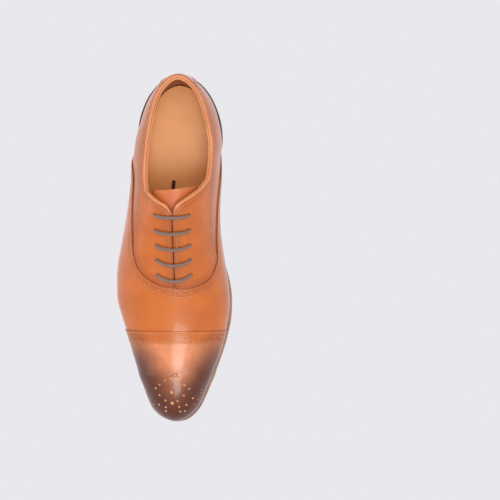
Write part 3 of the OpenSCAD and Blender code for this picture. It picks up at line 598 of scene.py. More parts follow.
def leather(name, tan, deep, rough=0.38, coat=0.6, coatRough=0.14, rows=None, grain=0.12,
            mottle=0.5, burnish=None, specular=0.5, band=None, sheen=0.0):
    # dyed leather: mottled between two tones, with painted shade darkening it along its stitched
    # edges and in the stitch rows
    finish, tree, shader = newFinish(name, rough, coat, coatRough, specular=specular, sheen=sheen)
    shader.inputs["Sheen Roughness"].default_value = 0.25
    where = addNode(tree, "ShaderNodeTexCoord", -1500)
    grainy = addNode(tree, "ShaderNodeGroup", -1200, 200, node_tree=grainGroup)
    tree.links.new(where.outputs["Object"], grainy.inputs[0])
    amount = math2(tree, "MULTIPLY", grainy.outputs["Mottle"], mottle, -900, 200)
    dyedAndShaded = blended(tree, amount, colour(*tan), colour(*deep), -600, 300)
    height = math2(tree, "MULTIPLY", grainy.outputs["Height"], grain, -900, -200)
    if rows:
        seam = addNode(tree, "ShaderNodeUVMap", -1500, -500, uv_map="seam")
        parts = addNode(tree, "ShaderNodeSeparateXYZ", -1300, -500)
        tree.links.new(seam.outputs[0], parts.inputs[0])
        for k, pair in enumerate(rows):
            if pair is None:
                continue
            edge = addNode(tree, "ShaderNodeGroup", -1100, -500 - 250 * k, node_tree=seamGroup)
            edge.inputs[1].default_value, edge.inputs[2].default_value = pair[0] * mm, pair[1] * mm
            tree.links.new(parts.outputs[k], edge.inputs[0])
            pressed = math2(tree, "MULTIPLY", edge.outputs["Height"], 0.8, -800, -500 - 250 * k)
            height = math2(tree, "ADD", height, pressed, -600, -400 - 200 * k)
            # painted shade from the stitched edge pulls the colour toward the deep tone
            dyedAndShaded = blended(tree, edge.outputs["Shade"], dyedAndShaded, colour(*deep), -300, 300 - 250 * k)
    if band:  # the punched band along the edge keeps the plain tan
        near = fade(tree, parts.outputs[0], 0.0098, 0.0126, 1.0, 0.0, -300, 700)
        dyedAndShaded = blended(tree, near, dyedAndShaded, colour(*band), -100, 700)
    if burnish:
        dyedAndShaded = burnish(tree, where, grainy, dyedAndShaded)
    tree.links.new(dyedAndShaded, shader.inputs["Base Color"])
    bump = addNode(tree, "ShaderNodeBump", -200, -300)
    bump.inputs["Strength"].default_value = 0.6
    bump.inputs["Distance"].default_value = 0.0003
    tree.links.new(height, bump.inputs["Height"])
    tree.links.new(bump.outputs[0], shader.inputs["Normal"])
    return finish


capLook = {"light": (236, 148, 100), "burnt": (92, 40, 18), "middle": 0.002, "width": 0.022,
           "reach": 0.040, "front": 0.124, "soft": (-0.022, 0.022)}


def burnishedToe(tree, where, grainy, dyedAndShaded):
    # wax and dark polish rubbed in round the toe; the pale middle narrows toward the tip
    parts = addNode(tree, "ShaderNodeSeparateXYZ", -1300, 700)
    tree.links.new(where.outputs["Object"], parts.inputs[0])
    x = math2(tree, "DIVIDE", math2(tree, "SUBTRACT", parts.outputs[0], capLook["middle"],
                                    -1150, 800), capLook["width"], -1000, 800)
    falling = math2(tree, "EXPONENT", math2(tree, "MULTIPLY", math2(
        tree, "MULTIPLY", x, x, -850, 800), -1.0, -700, 800), None, -550, 800)
    sideways = math2(tree, "MULTIPLY", math2(tree, "SUBTRACT", 1.0, falling, -400, 800),
                     capLook["reach"], -250, 800)
    ahead = math2(tree, "SUBTRACT", sideways, math2(tree, "ADD", parts.outputs[1],
                                                    capLook["front"], -550, 600), -100, 700)
    uneven = math2(tree, "ADD", ahead, math2(tree, "MULTIPLY", grainy.outputs["Mottle"], 0.004,
                                             -100, 500), 50, 700)
    mask = math2(tree, "POWER", fade(tree, uneven, *capLook["soft"], x=200, y=700), 0.6, 250, 500)
    return blended(tree, mask, dyedAndShaded, colour(*capLook["burnt"]), 350, 600)


calfTan, calfDeep = (214, 109, 24), (164, 72, 14)
vampFinish = leather("calfVamp", calfTan, calfDeep, rows=[(1.4, 7.2)], mottle=0.28, sheen=0.1)
facingFinish = leather("calfFacing", calfTan, calfDeep, rows=[(1.3, 5.8), (2.7, 2.7)], mottle=0.3,
                        sheen=0.1)
quarterFinish = leather("calfQuarter", calfTan, calfDeep, rows=[(40, 40), (40, 40)], mottle=0.3,
                         sheen=0.1)
capFinish = leather("calfToeCap", capLook["light"], (196, 100, 54), rough=0.36, coat=0.7,
                    coatRough=0.17, rows=[(1.8, 9.6)], mottle=0.35, burnish=burnishedToe,
                    band=(206, 108, 42), specular=0.25)
rimFinish = leather("foldedEdge", (236, 150, 96), (205, 112, 62), rough=0.45, coat=0.2,
                    mottle=0.4)
cutFinish = leather("inkedEdge", (150, 84, 48), (104, 54, 30), rough=0.55, coat=0.1, mottle=0.6)
paleEdge = leather("paleCutEdge", (238, 170, 112), (212, 140, 84), rough=0.7, coat=0, mottle=0.6)
holeFinish = leather("punchedWall", (234, 182, 138), (184, 118, 78), rough=0.7, coat=0, mottle=0.5)
# painted shade: dark brown walls for the lace holes, standing for the shade inside them
holeShade = leather("laceHoleShadeWall", (92, 46, 26), (60, 30, 18), rough=0.8, coat=0, mottle=0.5)
liningFinish = leather("naturalLining", (226, 152, 98), (200, 124, 74), rough=0.55, coat=0.08,
                       mottle=0.35, grain=0.2)
# heel grip: darker than the lining, partly its own suede tone and partly painted shade of the
# heel's inside back
gripShadedFinish = leather("heelGripSuedeShaded", (190, 120, 80), (160, 96, 62), rough=0.85, coat=0,
                     mottle=0.5, grain=0.4, specular=0.2)
sockFinish = leather("sockLining", (255, 180, 106), (240, 160, 90), rough=0.5, coat=0.1,
                     mottle=0.3, grain=0.2)
tongueFinish = leather("tongueCalf", (222, 122, 66), (190, 92, 46), rough=0.5, coat=0.15,
                       mottle=0.3)
weltFinish = leather("weltLeather", (196, 140, 112), (140, 86, 60), rough=0.45, coat=0.25,
                     mottle=0.6)
soleEdgeFinish = leather("inkedSoleEdge", (100, 60, 42), (66, 38, 26), rough=0.35, coat=0.3,
                         mottle=0.5, grain=0.15)
treadFinish = leather("soleTread", (198, 146, 96), (170, 116, 72), rough=0.6, coat=0.05,
                      mottle=0.6, grain=0.3)


def threadFinishOf(name, tone, dark):
    finish, tree, shader = newFinish(name, 0.6, 0.1, 0.4)
    where = addNode(tree, "ShaderNodeTexCoord", -900)
    twist = addNode(tree, "ShaderNodeTexWave", -600, bands_direction="DIAGONAL")
    twist.inputs["Scale"].default_value = 900
    twist.inputs["Distortion"].default_value = 2
    tree.links.new(where.outputs["Object"], twist.inputs["Vector"])
    tree.links.new(blended(tree, twist.outputs[0], colour(*dark), colour(*tone), -300),
                   shader.inputs["Base Color"])
    bump = addNode(tree, "ShaderNodeBump", -300, -300)
    bump.inputs["Distance"].default_value = 0.0001
    tree.links.new(twist.outputs[0], bump.inputs["Height"])
    tree.links.new(bump.outputs[0], shader.inputs["Normal"])
    return finish


threadFinish = threadFinishOf("tanThread", (244, 178, 118), (214, 136, 80))
weltThreadFinish = threadFinishOf("weltThread", (226, 190, 160), (150, 100, 74))


def laceFinishOf():
    # round waxed cotton lace: the strands of the braid cross on the tube's own coordinates; each
    # strand's crown is painted pale as a painted sheen highlight on the dark brown
    finish, tree, shader = newFinish("waxedLace", 0.46, 0.15, 0.35, sheen=0.15)
    seam = addNode(tree, "ShaderNodeUVMap", -1500, 0, uv_map="seam")
    parts = addNode(tree, "ShaderNodeSeparateXYZ", -1300, 0)
    tree.links.new(seam.outputs[0], parts.inputs[0])
    around = math2(tree, "MULTIPLY", parts.outputs[0], 2 * math.pi * 5, -1100, 100)
    along = math2(tree, "MULTIPLY", parts.outputs[1], 2 * math.pi / 0.0016, -1100, -100)
    left = math2(tree, "SINE", math2(tree, "ADD", around, along, -900, 100), None, -700, 100)
    right = math2(tree, "SINE", math2(tree, "SUBTRACT", around, along, -900, -100), None, -700,
                  -100)
    strands = math2(tree, "MAXIMUM", left, right, -500, 0)
    # painted highlight: the pale grey-brown on the strand crowns stands for the lace's sheen
    strandSheen = fade(tree, strands, -0.6, 0.9, x=-300, y=100)
    tree.links.new(blended(tree, strandSheen, colour(66, 46, 38), colour(172, 136, 118), -100, 200),
                   shader.inputs["Base Color"])
    bump = addNode(tree, "ShaderNodeBump", -100, -200)
    bump.inputs["Distance"].default_value = 0.00025
    tree.links.new(strands, bump.inputs["Height"])
    tree.links.new(bump.outputs[0], shader.inputs["Normal"])
    return finish


laceFinish = laceFinishOf()


def speckled(name, light, dark, scale, rough=0.6, metal=0.0, coat=0.0, bumpy=0.0001, stretch=None):
    finish, tree, shader = newFinish(name, rough, coat, 0.3, metal)
    where = addNode(tree, "ShaderNodeTexCoord", -1100)
    vector = where.outputs["Object"]
    if stretch:
        scaled = addNode(tree, "ShaderNodeVectorMath", -900, operation="MULTIPLY")
        tree.links.new(vector, scaled.inputs[0])
        scaled.inputs[1].default_value = stretch
        vector = scaled.outputs[0]
    grainy = addNode(tree, "ShaderNodeTexNoise", -700)
    grainy.inputs["Scale"].default_value = scale
    grainy.inputs["Detail"].default_value = 5
    tree.links.new(vector, grainy.inputs["Vector"])
    mask = fade(tree, grainy.outputs[0], 0.35, 0.65, x=-500)
    tree.links.new(blended(tree, mask, colour(*dark), colour(*light), -300),
                   shader.inputs["Base Color"])
    bump = addNode(tree, "ShaderNodeBump", -300, -300)
    bump.inputs["Distance"].default_value = bumpy
    tree.links.new(grainy.outputs[0], bump.inputs["Height"])
    tree.links.new(bump.outputs[0], shader.inputs["Normal"])
    return finish


aglet = speckled("lacquerTip", (46, 32, 26), (26, 18, 15), 900, 0.25, coat=0.6, bumpy=0.00002)
stackFinish = speckled("stackedHeelLeather", (92, 54, 36), (60, 34, 23), 60, 0.4, coat=0.3,
                       stretch=(1, 1, 9))
rubberFinish = speckled("topPieceRubber", (48, 42, 40), (30, 27, 26), 700, 0.75)
brassFinish = speckled("brass", (214, 172, 96), (176, 132, 66), 500, 0.35, 1.0, bumpy=0.00002)
steelFinish = speckled("springSteel", (176, 176, 180), (140, 140, 146), 300, 0.4, 1.0,
                       bumpy=0.00002)
corkFinish = speckled("corkFilling", (196, 150, 100), (120, 82, 50), 380, 0.9)
boardFinish = speckled("stiffenerBoard", (206, 182, 144), (176, 150, 112), 500, 0.85)
insoleFinish = speckled("insoleLeather", (216, 178, 136), (188, 146, 104), 240, 0.7)
print("finishes made")

# ---- lace: the bars over the facings, the runs beneath them, and the two free ends

laceLook = {"diameter": 3.0, "reach": 14, "firstRow": 29, "pitch": 12.8, "bow": (1.6, 0.8),
            "depth": -6.4, "barRise": 2.35, "step": 0.45, "sides": 20, "relief": 0.11}
lateralTail = [[-15.7, 30.5, 83.6], [-20, 30, 79.3], [-24.3, 29.5, 73.2], [-27.4, 29.2, 66],
               [-28.5, 28.6, 58], [-28.6, 28.2, 50], [-28.2, 28.4, 42], [-27.6, 28.4, 34],
               [-26.6, 27, 26.6], [-25.2, 21.4, 21.8], [-22.6, 12, 19.6], [-17, 4.6, 18.4],
               [-10.4, 4.8, 18.4], [-6.4, 12, 19.6], [-4.9, 22, 21.4], [-3.5, 32, 23.3],
               [-2.6, 39.6, 24.8]]
medialTail = [[16.8, 18.1, 77.2], [21.1, 17.7, 72.9], [25.4, 17.2, 66.8], [28.2, 17, 60],
              [29, 16.6, 52], [28.8, 16, 44], [28.2, 15, 36], [27.2, 12.6, 28], [26, 7.6, 21.8],
              [24, -1, 18], [21.4, -12, 16.3], [18.4, -24, 15], [13.6, -34, 14.4],
              [5.6, -39.6, 14.2], [-4, -41, 14.2], [-12.4, -37.8, 14.2], [-17.6, -31.4, 14.5],
              [-18.4, -27, 14.7], [-18, -23, 15.1]]


def braid(distance, angle):
    turn = 2 * math.pi * distance / 4.8
    return laceLook["relief"] * (np.maximum(np.cos(5 * angle + 5 * turn / 2),
                                            np.cos(5 * angle - 5 * turn / 2)) - 0.6)


def lacePiece(name, route):
    rings, uv = ringsAlong(route, laceLook["diameter"] / 2, laceLook["sides"], braid)
    return gridPiece(name, rings, uv)


def tailPiece(name, points, tipName, cadTail, cadTip):
    route, length = evenly(through(points, 300), laceLook["step"])
    tail = finished(lacePiece(name, route), laceFinish, nodes=[cadTail], angle=60)
    along = unit(np.array(points[-1], float) - np.array(points[-2], float))
    stops = np.array([-3, -2.2, 0, 0.5, 10, 20.6, 21.6, 22]) + 0.0
    radius = np.array([1.5, 1.62, 1.62, 1.56, 1.5, 1.46, 1.3, 0.6])
    tip = np.array(points[-1], float) + along * stops[:, None]
    rings, uv = ringsAlong(tip, radius, 24)
    tipPiece = finished(gridPiece(tipName, rings, uv), aglet, nodes=[cadTip],
                        angle=50)
    print(name, "length", round(length, 1), "mm")
    return length


tailLengths = [tailPiece("lateralLaceEnd", lateralTail, "lateralLaceTip", "lateral_lace_tail",
                         "lateral_aglet"),
               tailPiece("medialLaceEnd", medialTail, "medialLaceTip", "medial_lace_tail",
                         "medial_aglet")]


def rowStation(k):
    return laceLook["firstRow"] - k * laceLook["pitch"]


def shaft(side, k):
    return [[rowStation(k), side * laceLook["reach"], d]
            for d in (0.9, -1.2, laceLook["depth"] + 1.5)]


def bar(start, k):
    made = []
    bow = laceLook["bow"][0] + laceLook["bow"][1] * k
    for i in np.linspace(-4, 4, 17):
        v = i / 4.6 * -start
        made.append([rowStation(k) - bow * (1 - v * v), v * laceLook["reach"],
                     laceLook["barRise"] - (0.12 if abs(i) > 3.9 else 0)])
    return made


def under(side, a, b, step):
    n, t, s = 3 * abs(b - a), np.sign(b - a), rowStation(a)
    run, turned = rowStation(b) - s, laceLook["depth"] + 0.3
    reach = side * laceLook["reach"]
    made = [[s - t * 0.9, reach, turned]]
    for i in range(n + 1):
        u = i / n
        made.append([s + run * u - t * (2.8 if i == 0 else -2.8 if i == n else 0),
                     reach + side * step * max(math.sin(math.pi * u), 0) ** 0.7,
                     laceLook["depth"]])
    return made + [[s + run + t * 0.9, reach, turned]]


def crossing(start, k):
    return shaft(start, k)[::-1] + bar(start, k) + shaft(-start, k)


def leaving(side, k):
    return [[rowStation(k), side * (laceLook["reach"] + 0.9), laceLook["depth"] + 0.3],
            [rowStation(k), side * (laceLook["reach"] + 2.8), laceLook["depth"]]]


laceRun = np.array(leaving(lateral, 0)[::-1] + crossing(lateral, 0) + under(medial, 0, 2, -3.6)
                   + crossing(medial, 2) + under(lateral, 2, 4, 3.6) + crossing(lateral, 4)
                   + under(medial, 4, 3, 0) + crossing(medial, 3) + under(lateral, 3, 1, -3.6)
                   + crossing(lateral, 1) + leaving(medial, 1))
lacePoints = lift(beside(np.where(laceRun[:, 1] < 0, -1.0, 1.0), laceRun[:, 0],
                         np.maximum(np.abs(laceRun[:, 1]), 0.05)), laceRun[:, 2])
lacePoints = np.vstack([lateralTail[0], lacePoints, medialTail[0]])
laceRoute, laceLength = evenly(through(lacePoints, len(lacePoints) * 8), laceLook["step"])
finished(lacePiece("laceBars", laceRoute), laceFinish, nodes=["lace"], angle=60)
print("lace length", round(laceLength, 1), "mm, with its ends",
      round(laceLength + sum(tailLengths), 1))

# ---- upper

upperLook = {"leather": 1.2, "facingRise": 0.7, "vampRise": 1.1, "capRise": 1.5,
             "capEdgeExtra": 0.5, "bevel": 0.28, "stitch": (1.9, 0.72, 0.6), "stitchPitch": 2.9,
             "vampHole": 1.7, "facingHole": 1.15, "capHole": 1.8, "holePitch": 9.4}

wings = {side: through(wing(side), 54) for side in (lateral, medial)}
throat = through(placesOf(throatEdge), 72)
vampEdge = np.vstack([wings[lateral][::-1], throat[1:], wings[medial][1:]])
footStart, footEnd = capLine(-180) - 6, capLine(180) - 6
ring = np.linspace(-footAngle, footAngle, 73)
vampFoot = np.vstack([
    np.stack([np.linspace(90, footStart, 55), np.full(55, -footAngle)], -1),
    np.stack([capLine(ring) - 6, ring], -1)[1:],
    np.stack([np.linspace(footEnd, 90, 55), np.full(55, footAngle)], -1)[1:]])
vampEdgePoints = skin(vampEdge)[0]
capEdge = np.stack([capLine(np.linspace(-182, 182, 181)), np.linspace(-182, 182, 181)], -1)
capEdgePoints = skin(capEdge)[0]

stitchTemplate = thread(*upperLook["stitch"])
stitchRows = {"vamp": [], "facing": [], "cap": [], "strip": []}


def stitchAlong(group, edge, distance, toward, height, ends=(1.5, 1.5)):
    moved = stepAside(edge, distance, toward) if distance else edge
    stitchRows[group].append(spacedRow(moved, upperLook["stitchPitch"], height, ends))


def holesAlong(edge, distance, toward, height, pitch, ends=(3, 3)):
    return spacedRow(stepAside(edge, distance, toward), pitch, height, ends)


# vamp with its long wings
vampHoles = holesAlong(vampEdge, 4.4, -1, upperLook["vampRise"], upperLook["holePitch"])
vamp = panel("vampPanel", between(vampEdge, vampFoot, 62), upperLook["vampRise"],
             upperLook["leather"], [vampFinish, cutFinish, holeFinish],
             [vampEdgePoints, capEdgePoints], upperLook["bevel"],
             punchCutter("vampPunch", vampHoles, upperLook["vampHole"], 0.9))
finished(vamp, None, nodes=["vamp"], angle=35)
for distance in (1.4, 7.2):
    stitchAlong("vamp", vampEdge, distance, -1, upperLook["vampRise"] + 0.08)
print("vamp made")

# toe cap with its punched seam and medallion
medallion = {"sizes": (2.9, 2.1, 1.4),
             "large": [(-1.2, -113.2), (-1.2, -124.8), (-0.9, -134.1)],
             "medium": [(-6.8, -114.6), (4.6, -115.2), (-11.4, -118.4), (9.4, -118.8),
                        (-14.9, -121.6), (13.1, -121.9), (-11.5, -127.3), (8.8, -127.5),
                        (-6.6, -132.0), (3.5, -132.5), (-12.0, -135.7), (-6.3, -137.9),
                        (4.8, -137.5), (10.8, -135.8), (16.1, -130.1), (-6.2, -141.2),
                        (5.6, -141.6), (9.5, -141.2)],
             "small": [(-23.1, -123.0), (-22.3, -125.6), (-19.5, -131.2), (-16.5, -135.6),
                       (23.6, -123.0), (22.8, -125.6), (20.0, -131.2), (17.0, -135.6)]}
plan = medallion["large"] + medallion["medium"] + medallion["small"]
sizes = [size for group, size in zip(("large", "medium", "small"), medallion["sizes"])
         for _ in medallion[group]]


def capPlaces(points):
    # places of plan points on the toe cap, found on a fine grid of the toe
    s, w = np.meshgrid(np.linspace(-164, -75, 357), np.linspace(-110, 110, 441), indexing="ij")
    grid = np.stack([s, w], -1).reshape(-1, 2)
    where = skin(grid)[0]
    found = []
    for p in points:
        found.append(grid[np.argmin(((where[:, :2] - p) ** 2).sum(1))])
    return np.array(found)


medallionPlaces = capPlaces(plan)
point, normal = skin(medallionPlaces)
medallionHoles = [point + normal * upperLook["capRise"], np.tile([0.0, 1.0, 0.0], (len(plan), 1)),
                  normal]
capHoles = holesAlong(capEdge, 5.6, -1, upperLook["capRise"] + 0.3, upperLook["holePitch"],
                      (14, 14))
allCapHoles = [np.vstack([a, b]) for a, b in zip(medallionHoles, capHoles)]
capSizes = np.concatenate([sizes, np.full(len(capHoles[0]), upperLook["capHole"])])
columns = np.linspace(-184, 184, 161)
flatRows = np.linspace(0, 1, 35)[:, None]
fanRows = np.linspace(-110, -164, 46)[1:, None]
start = capLine(columns)[None]
capGrid = np.stack([np.vstack([start + (-110 - start) * flatRows, fanRows + start * 0]),
                    np.broadcast_to(columns, (80, 161))], -1)
capRise = lambda places, near: (upperLook["capRise"]
                                + upperLook["capEdgeExtra"] * np.exp(-near[0] / 7))
cap = panel("toeCapPanel", capGrid, capRise, upperLook["leather"] + 0.3,
            [capFinish, cutFinish, holeFinish], [capEdgePoints], upperLook["bevel"],
            punchCutter("capPunch", allCapHoles, capSizes, 0.9))
finished(cap, None, nodes=["toe_cap"], angle=35)
for distance, rise in ((1.8, 0.42), (9.0, 0.2), (10.6, 0.17)):
    stitchAlong("cap", capEdge, distance, -1, upperLook["capRise"] + rise, (7, 7))
print("toe cap made")

# quarters: one long panel a side, running on beneath the facing and the vamp
for side, label in ((lateral, "lateral"), (medial, "medial")):
    opening, band = openingEdge(side), bandEdge(side)
    bandPoints = skin(band)[0]
    seat = topline(side, np.linspace(164.8, notchStation, 11)[:-1], 4.2)
    top = np.vstack([seat, opening * 0.4 + band * 0.6])
    foot = np.stack([np.linspace(164.8, -40, len(top)), np.full(len(top), side * footAngle)], -1)
    quarter = panel(label + "QuarterPanel", between(top, foot, 44), 0.0, upperLook["leather"],
                    [quarterFinish, cutFinish, holeFinish],
                    [bandPoints, skin(wings[side])[0]], 0)
    finished(quarter, None, nodes=[label + "_quarter"], angle=35)

    # facing and collar in one piece, slipped under the vamp at its front
    weight = np.clip((np.arange(len(band)) - 118) / 6, 0, 1)
    longer = stepAside(band, 4.0 * weight, -side * -1)
    throatPoints = bandPoints[118:]
    facingRise = lambda places, near: upperLook["facingRise"] - 0.45 * np.exp(
        -(distanceTo(skin(places)[0], finely(throatPoints)) / 3) ** 2)
    inward = -side
    rowHoles = holesAlong(band[:119], 3.5, inward, upperLook["facingRise"], 6.6, (4, 6))
    laceHoles = skin(beside(side, np.array([rowStation(k) for k in range(5)]),
                            laceLook["reach"]))
    laceRow = [laceHoles[0] + laceHoles[1] * 0.7, np.tile([0.0, 1.0, 0.0], (5, 1)), laceHoles[1]]
    cutter = punchCutter(label + "Punch", rowHoles, upperLook["facingHole"], 0.8)
    facing = panel(label + "FacingPanel", between(opening, longer, 34), facingRise,
                   upperLook["leather"], [facingFinish, cutFinish, holeFinish, holeShade],
                   [bandPoints, skin(opening)[0]], upperLook["bevel"], cutter)
    punch(facing, punchCutter(label + "LacePunch", laceRow, 3.9, 4))
    finished(facing, None, nodes=[label + "_facing"], angle=35)
    for distance in (1.3, 5.8):
        stitchAlong("facing", band[:119], distance, inward, upperLook["facingRise"] + 0.06)
    stitchAlong("facing", opening, 2.7, -inward, upperLook["facingRise"] + 0.06)
    print(label, "quarter and facing made")

# strip up the back seam
stripLook = {"half": 15.2, "foot": 7.0, "rise": 1.2}
v = np.linspace(0, 1, 41)[:, None]
across = np.linspace(-1, 1, 33)[None]
blend = np.clip(v / 0.375, 0, 1)
half = stripLook["half"] + (stripLook["foot"] - stripLook["half"]) * blend ** 2 * (3 - 2 * blend)
stations = 164 + half * across
topAngle = topline(lateral, 164 + stripLook["half"] * across[0], 0.2)[:, 1][None]
stripGrid = np.stack([stations, topAngle + (-184 - topAngle) * v], -1)
strip = panel("backStripPanel", stripGrid, stripLook["rise"], upperLook["leather"],
              [facingFinish, cutFinish, holeFinish], [skin(stripGrid[:, 0])[0],
                                                      skin(stripGrid[:, -1])[0]],
              upperLook["bevel"])
finished(strip, None, nodes=["back_strip"], angle=35)
for column, toward in ((0, 1), (-1, -1)):
    edge = stripGrid[:, column]
    trial = stepAside(edge, 1.6, toward)
    if abs(trial[20, 0] - 164) > abs(edge[20, 0] - 164):
        toward = -toward
    for distance in (1.5, 3.6):
        stitchAlong("strip", edge, distance, toward, stripLook["rise"] + 0.06)

for group, rows in stitchRows.items():
    points, runs, normals = [np.vstack([row[k] for row in rows]) for k in range(3)]
    made = stamped(group + "Stitches", stitchTemplate, points, runs, normals)
    finished(made, threadFinish, angle=60)
print("stitches made")

# folded top edge: the leather rolled over, and the lining's edge inside it
rimLook = {"outer": (-0.5, 1.25, -0.35, 1.6), "inner": (-2.55, 0.85, -0.45, 1.35), "taper": 7.0,
           "sides": 14}
rimPlaces = [through(placesOf(lateralVee), 60)[::-1],
             topline(lateral, np.linspace(veeStation, 164, 160)[1:]),
             topline(medial, np.linspace(164, veeStation, 160)[1:]),
             through(placesOf(medialVee), 60)[1:]]
rimPlaces = np.vstack(rimPlaces)
rimPoint, rimNormal = skin(rimPlaces)
rimDown = skin(rimPlaces + np.stack([np.zeros(len(rimPlaces)), np.sign(rimPlaces[:, 1])], -1))[0]
rimRun = unit(np.gradient(rimPoint, axis=0))
rimDown = rimDown - rimPoint
rimDown = unit(rimDown - rimRun * (rimDown * rimRun).sum(1, keepdims=True))
rimDown = unit(rimDown - rimNormal * (rimDown * rimNormal).sum(1, keepdims=True))
rimLength = np.concatenate([[0], np.cumsum(np.linalg.norm(np.diff(rimPoint, axis=0), axis=1))])
ease = np.clip(np.minimum(rimLength, rimLength[-1] - rimLength) / rimLook["taper"], 0.05, 1) ** 0.5
angle = np.linspace(0, 2 * math.pi, rimLook["sides"] + 1)
for name, finish in (("outer", rimFinish), ("inner", paleEdge)):
    atNormal, wide, atUp, tall = rimLook[name]
    centre = rimPoint + rimNormal * atNormal - rimDown * atUp
    rings = (centre[:, None] + ease[:, None, None]
             * (rimNormal[:, None] * wide * np.cos(angle)[None, :, None]
                - rimDown[:, None] * tall * np.sin(angle)[None, :, None]))
    rings = np.concatenate([np.repeat(centre[:1, None], len(angle), 1), rings,
                            np.repeat(centre[-1:, None], len(angle), 1)])
    finished(gridPiece(name + "TopEdge", rings), finish, angle=60)
length = rimLength[-1]
at = np.arange(10, length - 10, 2.3)
rimCentre = rimPoint + rimNormal * -1.72 - rimDown * 0.72
rimRow = [np.stack([np.interp(at, rimLength, q[:, k]) for k in range(3)], -1)
          for q in (rimCentre, rimRun, -rimDown)]
finished(stamped("topEdgeStitches", thread(1.7, 0.5, 0.45), *rimRow), threadFinish,
         angle=60)
print("top edge made")

# ---- linings

liningLook = {"rise": -2.8, "thick": 0.8, "gripStation": 99}
for side, label in ((lateral, "lateral"), (medial, "medial")):
    vee = placesOf(lateralVee if side < 0 else medialVee)
    top = np.vstack([topline(side, np.linspace(liningLook["gripStation"] + 2, veeStation, 31), 0.8),
                     through(vee, 40)[1:],
                     beside(side, np.linspace(slitTop, -40, 33)[1:], 0.5)])
    foot = np.stack([np.linspace(liningLook["gripStation"] + 2, -40, len(top)),
                     np.full(len(top), side * 182)], -1)
    piece = panel(label + "Lining", between(top, foot, 40), liningLook["rise"],
                  liningLook["thick"], [liningFinish, cutFinish, holeFinish, holeShade], (), 0.15)
    laceHoles = skin(beside(side, np.array([rowStation(k) for k in range(5)]), laceLook["reach"]))
    laceRow = [laceHoles[0] - laceHoles[1] * 2.8, np.tile([0.0, 1.0, 0.0], (5, 1)), laceHoles[1]]
    punch(piece, punchCutter(label + "LiningPunch", laceRow, 4.9, 3))
    finished(piece, None, nodes=[label + "_quarter_lining"], angle=35)
columns = np.linspace(-181, 181, 121)
vampLiningGrid = np.stack([
    np.vstack([-36.3 + (-110 + 36.3) * np.linspace(0, 1, 29)[:, None] + columns * 0,
               np.linspace(-110, -164, 28)[1:, None] + columns * 0]),
    np.broadcast_to(columns, (56, 121))], -1)
finished(panel("vampLining", vampLiningGrid, liningLook["rise"], liningLook["thick"],
               [liningFinish, cutFinish], (), 0), None,
         nodes=["vamp_lining"], angle=35)
run = np.linspace(liningLook["gripStation"], 328 - liningLook["gripStation"], 97)
gripTop = np.array([topline(lateral, s, 0.8) for s in run])
gripGrid = between(gripTop, np.stack([run, np.full(len(run), -181)], -1), 30)
finished(panel("heelGrip", gripGrid, liningLook["rise"] - 0.35, liningLook["thick"],
               [gripShadedFinish, cutFinish], (), 0.2), None,
         nodes=["heel_grip"], angle=35)
print("linings made")

# ---- tongue

tongueLook = {"root": -40, "tip": 50, "top": -8.2, "thick": 1.2, "rootRise": 4.0,
              "liningThick": 0.8}
s = np.linspace(tongueLook["root"], tongueLook["tip"], 76)[:, None]
v = np.linspace(-1, 1, 49)[None]
halfWidth = rowsAt(np.array([[-45, 20.0], [-10, 25], [24, 25], [34, 24.5], [43, 27.5],
                             [50, 28.5]]), s[:, 0])[:, 1]
station = s + np.where(s > 40, 3 * v * v * (s - 40) / 10, 0)
tongueGrid = beside(np.where(v < 0, -1.0, 1.0) + station * 0, station,
                    np.maximum(np.abs(v), 0.001) * halfWidth[:, None])
rootLift = lambda places: tongueLook["rootRise"] * np.clip((-28 - places[..., 0]) / 12, 0, 1)
tongue = panel("tonguePanel", tongueGrid, lambda p, near: tongueLook["top"] + rootLift(p),
               tongueLook["thick"], [tongueFinish, paleEdge], (), 0.2)
finished(tongue, None, body="tongue", nodes=["tongue"], angle=35)
tongueLining = panel("tongueLiningPanel", tongueGrid,
                     lambda p, near: tongueLook["top"] - tongueLook["thick"] - 0.15 + rootLift(p),
                     tongueLook["liningThick"], [liningFinish, paleEdge], (), 0.15)
finished(tongueLining, None, body="tongue", nodes=["tongue_lining"],
         angle=35)
edge = tongueGrid[-1]
moved = stepAside(edge[2:-2], 2.6, 1)
if moved[20, 0] > edge[22, 0]:
    moved = stepAside(edge[2:-2], 2.6, -1)
tongueRow = spacedRow(moved, 2.5, tongueLook["top"] + 0.08)
finished(stamped("tongueStitches", stitchTemplate, *tongueRow), threadFinish, body="tongue",
         angle=60)
print("tongue made")

# ---- bottom


def rimAt(side, s, reach, inset):
    t = section(side, s)
    r = t[reach]
    return np.stack([t["x"] + t["c"] * (r - inset), t["y"] + t["n"] * (r - inset)], -1)


def edgeSweep(name, from_, to, profile, finish, nodes, count=340, reach="sole", angle=30):
    # a strip round the sole with a cross-section of [inset, height over the sole line]
    s = np.linspace(from_, to, count)
    sides = np.concatenate([np.full(count, -1.0), np.full(count - 1, 1.0)])
    if from_ == -164:  # from the lateral waist round the toe to the medial waist
        stations = np.concatenate([s[::-1], s[1:]])
    else:
        stations = np.concatenate([s, s[::-1][1:]])
    rings = []
    for inset, height in list(profile) + [profile[0]]:
        plan = rimAt(sides, stations, reach, inset)
        rings.append(np.column_stack([plan, soleHeight(plan[:, 1]) + height]))
    rings = np.stack(rings, 1)
    middle = rings[:, :-1].mean(1)
    rings = np.concatenate([np.repeat(middle[:1, None], rings.shape[1], 1), rings,
                            np.repeat(middle[-1:, None], rings.shape[1], 1)])
    return finished(gridPiece(name, rings), finish, nodes=nodes, angle=angle)


